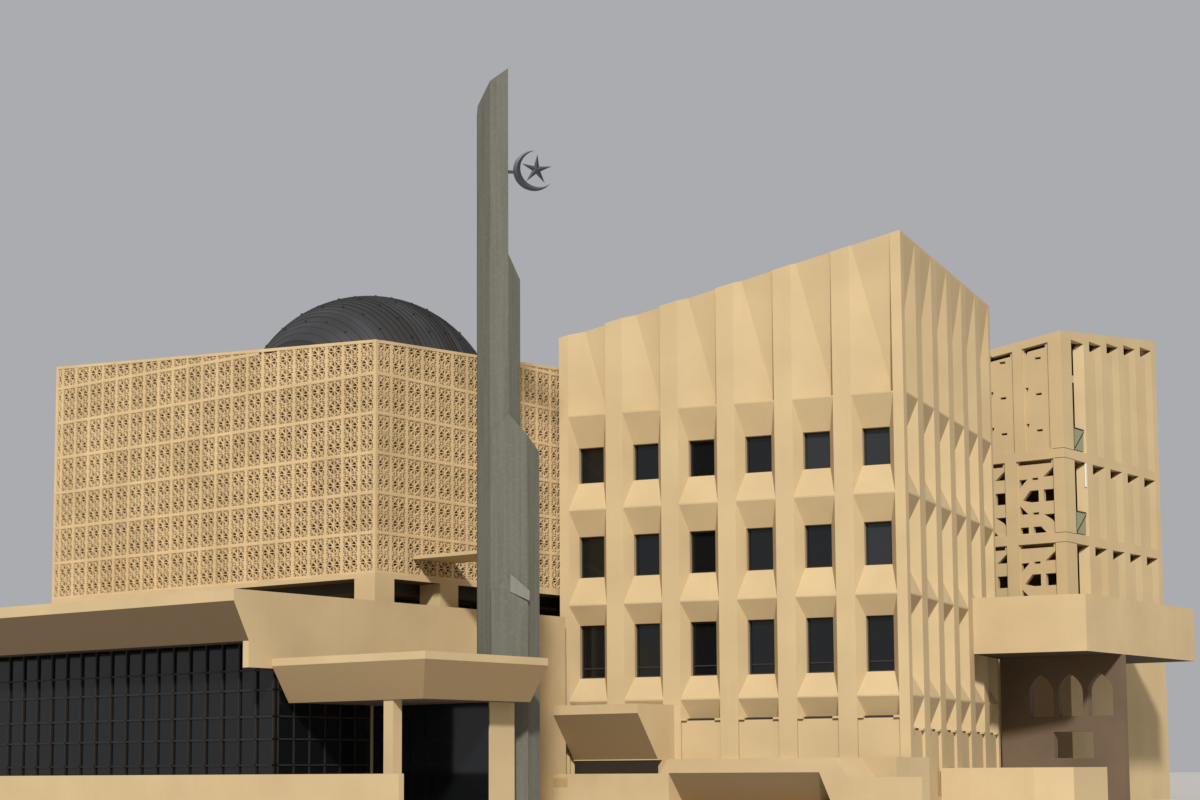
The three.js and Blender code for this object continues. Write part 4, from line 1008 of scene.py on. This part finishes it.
@dataclass
class Dome:
    """The low dome of seamed sheet and its base ring."""

    x: float = -8.49
    y: float = -8.21
    z: float = 17.37
    radius: float = 5.85
    base: float = 17.6
    shell: float = 0.3
    seam_pitch: float = 0.26
    seam_width: float = 0.04
    seam_height: float = 0.04
    # Every fourth seam carries small clips at an even pitch.
    clip_seams: int = 4
    clip_pitch: float = 1.3
    clip_size: float = 0.07
    arc_steps: int = 64
    ring_steps: int = 96
    ring_width: float = 0.16
    ring_height: float = 0.14
    smooth_degrees: float = 30.0

    def rise(self) -> float:
        """How far the dome's foot lies over its centre."""
        return self.base - self.z

    def reach(self) -> float:
        """The radius of the dome's foot, from its own radius and its rise."""
        return math.sqrt(self.radius ** 2 - self.rise() ** 2)

    def sheets(self) -> Surface:
        """The cap as a grid of slices and angles.

        A slice at y has the arc of radius sqrt(R² - y²) round the dome's level axis,
        raised by the seam's height over the width of each seam.

        Returns:
            The cap's outer skin.
        """
        reach = self.reach()
        count = int(reach / self.seam_pitch)
        seams = np.arange(-count, count + 1) * self.seam_pitch
        half = self.seam_width / 2
        offsets = np.array((-half, -half, half, half, self.seam_pitch / 2))
        lifts = np.array((0.0, self.seam_height, self.seam_height, 0.0, 0.0))
        y = (seams[:, None] + offsets).ravel()
        lift = np.broadcast_to(lifts, (len(seams), len(lifts))).ravel()
        inside = np.abs(y) < reach - half
        y = np.concatenate(((-reach,), y[inside], (reach,)))
        lift = np.concatenate(((0.0,), lift[inside], (0.0,)))
        radius = np.sqrt(np.maximum(self.radius ** 2 - y ** 2, self.rise() ** 2)) + lift
        lowest = np.arcsin(np.clip(self.rise() / radius, -1, 1))
        share = np.linspace(0, 1, self.arc_steps)
        angle = lowest[:, None] + (math.pi - 2 * lowest[:, None]) * share
        points = np.stack((
            self.x + radius[:, None] * np.cos(angle),
            self.y + np.broadcast_to(y[:, None], angle.shape),
            self.z + radius[:, None] * np.sin(angle),
        ), axis=-1)
        return Surface(points.reshape(-1, 3), [grid_faces(len(y), self.arc_steps)])

    def ring(self) -> Surface:
        """The base ring: a rectangle carried round the dome's foot.

        Returns:
            The ring's skin.
        """
        inner = self.reach() - self.ring_width / 2
        outer = inner + self.ring_width
        head = self.base + self.ring_height
        profile = np.array(((inner, self.base), (outer, self.base), (outer, head), (inner, head)))
        angle = np.linspace(0, 2 * math.pi, self.ring_steps, endpoint=False)
        lines = np.stack((
            self.x + profile[:, :1] * np.cos(angle),
            self.y + profile[:, :1] * np.sin(angle),
            np.broadcast_to(profile[:, 1:], (len(profile), len(angle))),
        ), axis=-1)
        return tube(lines, wrap=True)

    def clips(self) -> Surface:
        """Small blocks that stand on some seams, along each seam's arc at an even pitch.

        Returns:
            The blocks, each one turned with the arc.
        """
        along, across, up = BOX_SIDES.T * (self.clip_size / 2)
        count = int(self.reach() / self.seam_pitch / self.clip_seams)
        boxes = []
        for y in np.arange(-count, count + 1) * self.seam_pitch * self.clip_seams:
            radius = math.sqrt(self.radius ** 2 - y ** 2)
            steps = int(radius * math.pi / 2 / self.clip_pitch)
            angle = math.pi / 2 + np.arange(-steps, steps + 1) * self.clip_pitch / radius
            angle = angle[radius * np.sin(angle) > self.rise() + self.clip_size]
            out = radius + self.seam_height + up
            c, s = np.cos(angle)[:, None], np.sin(angle)[:, None]
            boxes.append(np.stack((
                self.x + out * c + along * s,
                np.broadcast_to(self.y + y + across, (len(angle), len(across))),
                self.z + out * s - along * c,
            ), axis=-1))
        return hexahedra(np.concatenate(boxes))

    def build(self) -> None:
        """Builds the cap, as a shell, its clips and its ring."""
        smooth = self.smooth_degrees
        cap = mesh_piece(
            "dome_sheets", self.sheets(), Paint.DOME, ("dome_shell",), smooth_degrees=smooth,
        )
        thick = cap.modifiers.new("shell", "SOLIDIFY")
        thick.thickness = self.shell * MODEL_SCALE
        thick.offset = -1
        mesh_piece("dome_clips", self.clips(), Paint.STEEL)
        mesh_piece("dome_ring", self.ring(), Paint.BRONZE, smooth_degrees=smooth)


# Classroom block


@dataclass(frozen=True)
class Bays:
    """The bays of one wall of the block, counted from its corner end."""

    wall: Wall
    count: int
    pier: float
    pitch: float
    from_end: bool = False

    def starts(self, recess: float) -> np.ndarray:
        """Where each bay's recess starts, seen from outside.

        Args:
            recess: The recess's width.

        Returns:
            Metres along the wall.
        """
        near = self.pier + self.pitch * np.arange(self.count)
        return self.wall.length - near - recess if self.from_end else near


@dataclass
class ClassroomBlock:
    """The folded block's windows: panes, frames, bars and blinds."""

    width: float = 15.32
    depth: float = 15.8
    bays: int = 6
    back_bays: int = 4
    pier: float = 0.44
    pitch: float = 2.54
    right_pier: float = 0.48
    right_pitch: float = 2.644
    recess: float = 1.75
    window: float = 1.16
    rows: tuple[tuple[float, float], ...] = ((5.58, 7.85), (9.9, 11.68), (14.0, 15.55))
    frame_front: float = 0.7
    frame_back: float = 0.8
    frame_bar: float = 0.06
    transom: float = 0.4
    transom_bar: float = 0.05
    pane_front: float = 0.765
    pane_back: float = 0.78
    # Front windows with a drawn blind: each one's row from the foot and bay from the
    # corner, both counted from zero.
    blinds: tuple[tuple[int, int], ...] = ((1, 0), (2, 0), (2, 1))
    slot_height: float = 0.09
    slot_inset: float = 0.25
    slot_front: float = 0.2
    slot_back: float = 0.24
    slot_head: float = 3.8
    right_slot_head: float = 3.3

    def faces(self) -> dict[str, Bays]:
        """The three walls with windows, and their bays.

        The block narrows to the back, where its left side keeps to the building's plan:
        by the grid turn's tangent times its depth.

        Returns:
            The bays by the wall's name.
        """
        front = Wall((-self.width, 0), (1, 0), self.width)
        right = Wall((0, 0), (0, 1), self.depth)
        narrowing = math.tan(math.radians(BLOCK_GRID.turn)) * self.depth
        back = Wall((0, self.depth), (-1, 0), self.width - narrowing)
        return {
            "front": Bays(front, self.bays, self.pier, self.pitch, from_end=True),
            "right": Bays(right, self.bays, self.right_pier, self.right_pitch),
            "back": Bays(back, self.back_bays, self.pier, self.pitch),
        }

    def frames(self, bays: Bays) -> Surface:
        """A frame of four bars in each window, with a bar low across each one of the lowest row.

        Args:
            bays: The wall's bays.

        Returns:
            The bars of every window in the wall.
        """
        left = bays.starts(self.recess)[:, None] + (self.recess - self.window) / 2
        right = left + self.window
        sill, head = np.array(self.rows).T
        bar = self.frame_bar
        depth = (self.frame_front, self.frame_back)
        middle = sill[0] + self.transom
        wall = bays.wall
        return Surface.join([
            wall.bars(left, left + bar, *depth, sill, head),
            wall.bars(right - bar, right, *depth, sill, head),
            wall.bars(left, right, *depth, sill, sill + bar),
            wall.bars(left, right, *depth, head - bar, head),
            wall.bars(left, right, *depth, middle, middle + self.transom_bar),
        ])

    def build(self) -> None:
        """Builds the frames, the panes and the shaded slots under the folds of each wall."""
        for name, bays in self.faces().items():
            mesh_piece(
                f"window_frames_{name}", self.frames(bays), Paint.BRONZE, grid=BLOCK_GRID,
            )
            start = bays.starts(self.recess)[:, None]
            drawn = np.zeros((bays.count, len(self.rows)), bool)
            if name == "front":
                row, bay = np.array(self.blinds).T
                drawn[bay, row] = True
            inset = (self.recess - self.window) / 2
            left, sill, head = np.broadcast_arrays(start + inset, *np.array(self.rows).T)
            for label, paint, which in (
                ("panes", Paint.GLASS, ~drawn), ("blinds", Paint.BLIND_GLASS, drawn),
            ):
                if which.any():
                    panes = bays.wall.bars(
                        left[which], left[which] + self.window, self.pane_front, self.pane_back,
                        sill[which], head[which],
                    )
                    mesh_piece(f"window_{label}_{name}", panes, paint, grid=BLOCK_GRID)
            # The shaded slots are dark bars of painted shade.
            slot_head = self.right_slot_head if name == "right" else self.slot_head
            slots = bays.wall.bars(
                start + self.slot_inset, start + self.recess - self.slot_inset, self.slot_front,
                self.slot_back, slot_head - self.slot_height, slot_head,
            )
            mesh_piece(f"shaded_slots_{name}", slots, Paint.BRONZE, grid=BLOCK_GRID)


# Glazed walls


@dataclass
class GlazedWalls:
    """Mullions and transoms of the shop glazing and of the glass room under the hall."""

    bar: float = 0.06
    proud: float = 0.08
    front_y: float = -23.85
    front_x: tuple[float, float] = (-18.1, 1.7)
    front_head: float = 6.75
    front_pitch: float = 0.88
    front_transoms: tuple[float, ...] = (0.2, 1.9, 2.84, 3.66, 4.63, 5.36)
    room: tuple[float, float, float, float] = (-16.4, -1.4, -15.5, -0.5)
    room_foot: float = 7.1
    room_head: float = 8.75
    room_pitch: float = 1.5
    side_x: float = 1.78
    side_y1: float = -19.0
    side_head: float = 5.4
    # The glazing under the upper planter: its left and right ends, its place and its head.
    under_planter: tuple[float, float, float, float] = (2.05, 7.75, -19.02, 4.15)
    # The deep part of the hall's floor, and the heights of its sides, which carry a dark lining of painted
    # shade.
    floor_core: tuple[float, float, float, float] = (-17.2, 0.0, -16.9, 0.3)
    floor_foot: float = 8.75
    floor_head: float = 9.18
    lining: float = 0.03

    def lattice(
        self, wall: Wall, pitch: float, foot: float, head: float, levels: tuple[float, ...]
    ) -> Surface:
        """Upright bars at an even pitch and level bars at given heights, out from the glass.

        Args:
            wall: The glazed wall.
            pitch: About how far apart the upright bars stand. It is evened out over the wall.
            foot: The height of their feet.
            head: The height of their heads.
            levels: The heights of the level bars' undersides.

        Returns:
            All the bars.
        """
        count = max(1, round(wall.length / pitch))
        a = np.linspace(0, wall.length - self.bar, count + 1)
        z = np.array(levels)
        return Surface.join([
            wall.bars(a, a + self.bar, -self.proud, 0.0, foot, head),
            wall.bars(0.0, wall.length, -self.proud, 0.0, z, z + self.bar),
        ])

    def build(self) -> None:
        """Builds the bars, the glazing under the upper planter and the floor's dark lining of painted
        shade.
        """
        x0, x1 = self.front_x
        front = Wall((x0, self.front_y), (1, 0), x1 - x0)
        bars = self.lattice(front, self.front_pitch, 0.0, self.front_head, self.front_transoms)
        side = Wall((self.side_x, self.front_y), (0, 1), self.side_y1 - self.front_y)
        levels = tuple(z for z in self.front_transoms if z < self.side_head - self.bar)
        side_bars = self.lattice(side, self.front_pitch, 0.0, self.side_head, levels)
        mesh_piece("shopfront_bars", Surface.join([bars, side_bars]), Paint.BRONZE)
        x0, x1, y, head = self.under_planter
        under = Wall((x0, y), (1, 0), x1 - x0)
        pane = under.bars(0.0, under.length, -self.lining, 0.0, 0.0, head)
        mesh_piece("planter_shopfront", pane, Paint.GLASS)
        # Painted shade: dark linings on the sides of the floor's deep part.
        shade_linings = [
            side.bars(0.0, side.length, -self.lining, 0.0, self.floor_foot, self.floor_head)
            for side in rectangle_walls(*self.floor_core).values()
        ]
        mesh_piece("floor_shade_lining", Surface.join(shade_linings), Paint.BRONZE)
        levels = (self.room_foot, self.room_head - self.bar)
        rooms = [
            self.lattice(side, self.room_pitch, self.room_foot, self.room_head, levels)
            for side in rectangle_walls(*self.room).values()
        ]
        mesh_piece("undercroft_bars", Surface.join(rooms), Paint.BRONZE)


# Stair tower


@dataclass
class StairTower:
    """The tower's balustrades in its open corner bays, its joint lines, lamp and dark boards of painted
    shade.
    """

    x: float = 14.15
    y0: float = 17.5
    y1: float = 18.69
    ledges: tuple[float, ...] = (8.85, 12.95, 17.05)
    foot: float = 0.05
    height: float = 1.1
    # The glass stands as far behind the balustrade's face as its slanting brace is thick.
    glass_front: float = 0.01
    glass: float = 0.02
    depth: float = 0.04
    rail: float = 0.07
    brace: float = 0.08
    beam: float = 0.47
    joint: float = 0.03
    joint_proud: float = 0.004
    pier: float = 0.58
    corner_y: float = 16.35
    # The lamp's place along the wall, its foot and its head.
    lamp: tuple[float, float, float] = (18.78, 15.38, 16.57)
    lamp_width: float = 0.07
    # Dark boards of painted shade behind the top storey's openings: how far in, and their foot on the roof.
    shade_board_depth: float = 0.6
    board: float = 0.05
    shade_board_foot: float = 20.9
    # Where each board starts and ends along its wall, and its height there.
    front_shade_board: tuple[float, float, float, float] = (6.4, 13.0, 21.75, 22.6)
    right_shade_board: tuple[float, float, float, float] = (18.9, 27.4, 23.0, 23.95)

    def balustrades(self) -> None:
        """Builds each open bay's pane, and its rail, post and slanting brace."""
        wall = Wall((self.x, self.y0), (0, 1), self.y1 - self.y0)
        rail, brace, front = self.rail, self.brace, self.glass_front
        for storey, ledge in enumerate(self.ledges, start=1):
            foot = ledge + self.foot
            head = foot + self.height
            pane = wall.bars(rail, wall.length - rail, front, front + self.glass, foot, head - rail)
            mesh_piece(
                f"balustrade_glass_{storey}", pane, Paint.RAILING_GLASS,
                (f"tower_balustrade_{storey}",),
            )
            metal = Surface.join([
                wall.bars(0.0, wall.length, 0.0, self.depth, head - rail, head),
                wall.bars(0.0, rail, 0.0, self.depth, foot, head - rail),
                wall.bars(
                    rail, wall.length, 0.0, front, foot, foot + brace, head - rail - brace, head - rail,
                ),
            ])
            mesh_piece(f"balustrade_rail_{storey}", metal, Paint.BRONZE)

    def joints(self) -> Surface:
        """The joint lines at each ledge: at its head and at its beam's foot, on both faces.

        Returns:
            The joints of the corner pier and of the open bay's wall.
        """
        level = np.array([z for ledge in self.ledges for z in (ledge, ledge - self.beam)])
        foot, head = level - self.joint / 2, level + self.joint / 2
        front = Wall((self.x - self.pier, self.corner_y), (1, 0), self.pier)
        right = Wall((self.x, self.corner_y), (0, 1), self.y0 - self.corner_y)
        return Surface.join([
            wall.bars(0.0, wall.length, -self.joint_proud, self.joint, foot, head)
            for wall in (front, right)
        ])

    def shade_boards(self) -> Surface:
        """The dark boards, painted shade, that close the top storey's openings over the roof.

        Returns:
            One board behind the front and one behind the right wall.
        """
        x0, x1, *front_tops = self.front_shade_board
        y0, y1, *right_tops = self.right_shade_board
        front = Wall((x0, self.corner_y), (1, 0), x1 - x0)
        right = Wall((self.x, y0), (0, 1), y1 - y0)
        depth, foot = self.shade_board_depth, self.shade_board_foot
        return Surface.join([
            wall.bars(0.0, wall.length, depth, depth + self.board, foot, low, foot, high)
            for wall, (low, high) in ((front, front_tops), (right, right_tops))
        ])

    def build(self) -> None:
        """Builds the balustrades, the joint lines at each ledge, the lamp and the dark boards of painted
        shade.
        """
        self.balustrades()
        mesh_piece("ledge_joints", self.joints(), Paint.BROWN)
        y, foot, head = self.lamp
        side = Wall((self.x, y), (0, 1), self.lamp_width)
        lamp = side.bars(0.0, self.lamp_width, 0.0, self.lamp_width, foot, head)
        mesh_piece("lamp_tube", lamp, Paint.LAMP)
        mesh_piece("tower_top_shade_boards", self.shade_boards(), Paint.DARK_BROWN)


# Minaret


@dataclass
class Finial:
    """The crescent and star, each folded to a ridge along its middle."""

    centre: tuple[float, float] = (0.99, 24.7)
    y: float = -0.44
    depth: float = 0.12
    radius: float = 0.8
    inner: float = 0.72
    offset: float = 0.22
    opening: float = 0.44
    steps: int = 48
    star_points: int = 10
    star_tip: float = 0.62
    star_waist: float = 0.17
    star_turn: float = 1.5
    star_offset: tuple[float, float] = (0.1, 0.05)
    smooth_degrees: float = 20.0
    # A pale plate of painted light for the base tier's lit slanting top: its corners along the face and up
    # it.
    facet: tuple[tuple[float, float], ...] = ((-0.03, 8.34), (0.71, 8.0), (0.71, 8.38), (0.0, 9.0))
    facet_y: float = -1.12
    facet_proud: float = 0.01

    def crescent(self) -> Surface:
        """A moon between two circles, as a section of four points carried round an arc.

        At each angle the section runs from the outer circle over a front ridge to the
        inner one, and back over a rear ridge. The horns end where the circles cross.

        Returns:
            The moon's skin.
        """
        cx, cz = self.centre
        shift = self.offset
        crossing = (self.radius ** 2 - self.inner ** 2 + shift ** 2) / (2 * shift)
        horn = math.acos(crossing / self.radius)
        angle = np.linspace(horn, 2 * math.pi - horn, self.steps)
        spread = shift * np.cos(angle)
        near = spread + np.sqrt(self.inner ** 2 - (shift * np.sin(angle)) ** 2)
        middle = (near + self.radius) / 2
        fullness = (self.radius - near) / (self.radius - near).max()
        ridge = self.depth / 2 * fullness
        turned = angle + self.opening
        radii = np.stack((np.full_like(near, self.radius), middle, near, middle))
        depths = np.stack((np.zeros_like(ridge), -ridge, np.zeros_like(ridge), ridge))
        lines = np.stack((
            cx + radii * np.cos(turned), self.y + depths, cz + radii * np.sin(turned),
        ), axis=-1)
        return tube(lines)

    def star(self) -> Surface:
        """A star whose rim goes tip, waist, tip, as fans to a front and a rear peak.

        Returns:
            The star's skin.
        """
        cx = self.centre[0] + self.star_offset[0]
        cz = self.centre[1] + self.star_offset[1]
        count = self.star_points
        step = np.arange(count)
        angle = self.star_turn + step * 2 * math.pi / count
        radius = np.where(step % 2 == 0, self.star_tip, self.star_waist)
        across, up = cx + radius * np.cos(angle), cz + radius * np.sin(angle)
        rim = np.stack((across, np.full(count, self.y), up), axis=-1)
        peaks = np.array(((cx, self.y - self.depth / 2, cz), (cx, self.y + self.depth / 2, cz)))
        following = (step + 1) % count
        front = np.stack((step, following, np.full(count, count)), axis=-1)
        rear = np.stack((following, step, np.full(count, count + 1)), axis=-1)
        return Surface(np.concatenate((rim, peaks)), [front, rear])

    def build(self) -> None:
        """Builds the crescent and the star as one piece, and the pale plate of painted light for the base
        tier's slanting top.
        """
        both = Surface.join([self.crescent(), self.star()])
        mesh_piece(
            "faceted_crescent_and_star", both, Paint.STEEL, ("crescent_and_star",),
            MINARET_GRID, self.smooth_degrees,
        )
        x, z = np.array(self.facet).T
        corners = np.stack((x, np.full(len(x), self.facet_y), z), axis=-1)
        out = corners - np.array((0, self.facet_proud, 0))
        facet = hexahedra(np.concatenate((corners, out))[None])
        mesh_piece("base_tier_lit_facet", facet, Paint.PALE_COATING, grid=MINARET_GRID)


# Planters


@dataclass
class PlantingBeds:
    """The soil in each planter, a little under its rim, and the low planters' vent and dark board of
    painted shade.
    """

    # Each bed's height and its plan.
    beds: dict[str, tuple[float, tuple[tuple[float, float], ...]]] = field(default_factory=lambda: {
        "upper": (5.6, ((2.2, -24.1), (9.2, -24.1), (9.2, -17.8), (2.2, -17.8))),
        "middle": (4.28, ((2.2, -7.85), (6.2, -7.85), (6.2, -5.75), (2.2, -6.75))),
        "lower": (2.0, ((8.07, -7.85), (15.43, -7.85), (15.43, -3.5), (8.07, -5.3))),
        "side": (1.58, ((15.5, 1.85), (18.7, 2.57), (19.8, 3.42), (19.8, 6.2), (14.7, 5.1))),
        "trough": (7.9, ((-18.0, -25.2), (1.6, -25.2), (1.6, -24.65), (-18.0, -24.65))),
        "podium": (9.1, ((14.6, 9.1), (18.1, 9.1), (18.1, 16.0), (14.6, 16.0))),
    })
    thickness: float = 0.2
    planter_y: float = -8.05
    # The gap and the vent in the low planters' front: both ends, foot and head.
    gap: tuple[float, float, float, float] = (2.02, 6.38, 1.54, 2.07)
    gap_depth: float = 1.42
    vent: tuple[float, float, float, float] = (1.98, 2.75, 1.0, 1.36)
    plate: float = 0.01

    def build(self) -> None:
        """Builds one bed of soil for each planter, the dark board of painted shade in the gap and the vent.
        """
        for name, (top, plan) in self.beds.items():
            soil = prism(np.array(plan), top - self.thickness, top)
            mesh_piece(f"soil_{name}", soil, Paint.SOIL)
        # The gap board is painted shade: a dark board deep in the gap.
        for name, paint, depth, (x0, x1, foot, head) in (
            ("gap_shade_board", Paint.BRONZE, self.gap_depth, self.gap),
            ("vent_plate", Paint.VENT, -self.plate, self.vent),
        ):
            wall = Wall((x0, self.planter_y), (1, 0), x1 - x0)
            plate = wall.bars(0.0, wall.length, depth, depth + self.plate, foot, head)
            mesh_piece(name, plate, paint)


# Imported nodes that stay


@dataclass
class CarriedNodes:
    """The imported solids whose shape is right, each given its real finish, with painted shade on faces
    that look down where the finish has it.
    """

    finishes: tuple[tuple[str, Paint], ...] = (
        ("classroom_glass", Paint.GLASS),
        ("ground_front_glazing", Paint.GLASS),
        ("undercroft_glazing", Paint.GLASS),
        ("hall_glazing", Paint.GLASS),
        ("minaret", Paint.COATING),
        ("podium_arch_wall", Paint.BROWN),
        ("podium_slab", Paint.PLANTER),
        ("crescent", Paint.BRONZE),
        ("hall_floor", Paint.PARAPET),
        ("terrace_front_planter", Paint.PARAPET),
        ("lower_planter", Paint.PLANTER),
        ("middle_planter", Paint.PLANTER),
        ("upper_planter", Paint.LEDGE),
        ("terrace", Paint.PARAPET),
    )
    other: Paint = Paint.RENDER

    def dress(self) -> None:
        """Gives each shown node the finish of the first name that it starts with."""
        for name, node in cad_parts.items():
            paint = next((p for start, p in self.finishes if name.startswith(start)), self.other)
            for slot in node.material_slots:
                slot.material = paint.material()
        LOG.info("packed nodes dressed: %d", len(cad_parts))


# Studio


@dataclass
class Studio:
    """The camera at the street corner, a soft sun, a pale sky and a pale floor."""

    place: tuple[float, float, float] = (28.52885, -39.53503, 0.82398)
    yaw: float = 37.2881
    pitch: float = 6.0852
    roll: float = -0.3603
    lens: float = 63.864
    sensor: float = 36.0
    view_depth: float = 1000.0
    shift_y: float = 0.12
    floor_size: float = 600.0
    sun_azimuth: float = 36.0
    sun_elevation: float = 34.0
    sun_angle: float = 5.0
    sun_strength: float = 3.75
    sun_colour: str = "#FFFFFF"
    sky_colour: str = "#F1F3F8"
    sky_strength: float = 0.46
    floor_colour: str = "#B9B5AE"

    def camera(self) -> None:
        """Sets the camera from its yaw, pitch and roll."""
        yaw, pitch, roll = (math.radians(v) for v in (self.yaw, self.pitch, self.roll))
        level = math.cos(pitch)
        ahead = Vector((-math.sin(yaw) * level, math.cos(yaw) * level, math.sin(pitch)))
        right = Vector((math.cos(yaw), math.sin(yaw), 0))
        up = right.cross(ahead)
        across = right * math.cos(roll) + up * math.sin(roll)
        over = up * math.cos(roll) - right * math.sin(roll)
        data = bpy.data.cameras.new("camera")
        data.sensor_width = self.sensor
        data.lens = self.lens
        data.shift_y = self.shift_y
        data.clip_end = self.view_depth
        camera = bpy.data.objects.new("camera", data)
        turn = Matrix((across, over, -ahead)).transposed().to_4x4()
        camera.matrix_world = Matrix.Translation(self.place) @ turn
        bpy.context.scene.collection.objects.link(camera)
        bpy.context.scene.camera = camera

    def lights(self) -> None:
        """Sets the sun and the sky."""
        azimuth = math.radians(self.sun_azimuth)
        elevation = math.radians(self.sun_elevation)
        level = math.cos(elevation)
        towards = Vector((math.sin(azimuth) * level, -math.cos(azimuth) * level, math.sin(elevation)))
        data = bpy.data.lights.new("sun", "SUN")
        data.energy = self.sun_strength
        data.angle = math.radians(self.sun_angle)
        data.color = linear(self.sun_colour)[:3]
        sun = bpy.data.objects.new("sun", data)
        sun.rotation_mode = "QUATERNION"
        sun.rotation_quaternion = towards.to_track_quat("Z", "Y")
        bpy.context.scene.collection.objects.link(sun)
        world = bpy.data.worlds.new("sky")
        world.use_nodes = True
        tree = world.node_tree
        tree.nodes.clear()
        sky = add(tree, "Background", {"Color": linear(self.sky_colour), "Strength": self.sky_strength})
        add(tree, "OutputWorld", {}, {"Surface": sky.outputs["Background"]})
        bpy.context.scene.world = world

    def floor(self) -> None:
        """Lays the floor: one level square that the building stands on."""
        half = self.floor_size / 2
        corners = ((-half, -half, 0), (half, -half, 0), (half, half, 0), (-half, half, 0))
        mesh = bpy.data.meshes.new("studio_floor")
        mesh.from_pydata(corners, [], [(0, 1, 2, 3)])
        mesh.materials.append(PaintedRender(
            "studio floor", self.floor_colour, cloud=self.floor_colour, streak=self.floor_colour,
        ).make())
        floor = bpy.data.objects.new("studio_floor", mesh)
        bpy.context.scene.collection.objects.link(floor)

    def build(self) -> None:
        """Sets camera, lights and floor."""
        self.camera()
        self.lights()
        self.floor()
        bpy.context.scene.view_settings.view_transform = "Standard"


def main() -> None:
    """Builds the studio and every sub-assembly, and reports each piece."""
    Studio().build()
    CarriedNodes().dress()
    for assembly in (
        PrayerHall(), Dome(), ClassroomBlock(), GlazedWalls(), StairTower(), Finial(), PlantingBeds(),
    ):
        assembly.build()


if __name__ == "__main__":
    main()
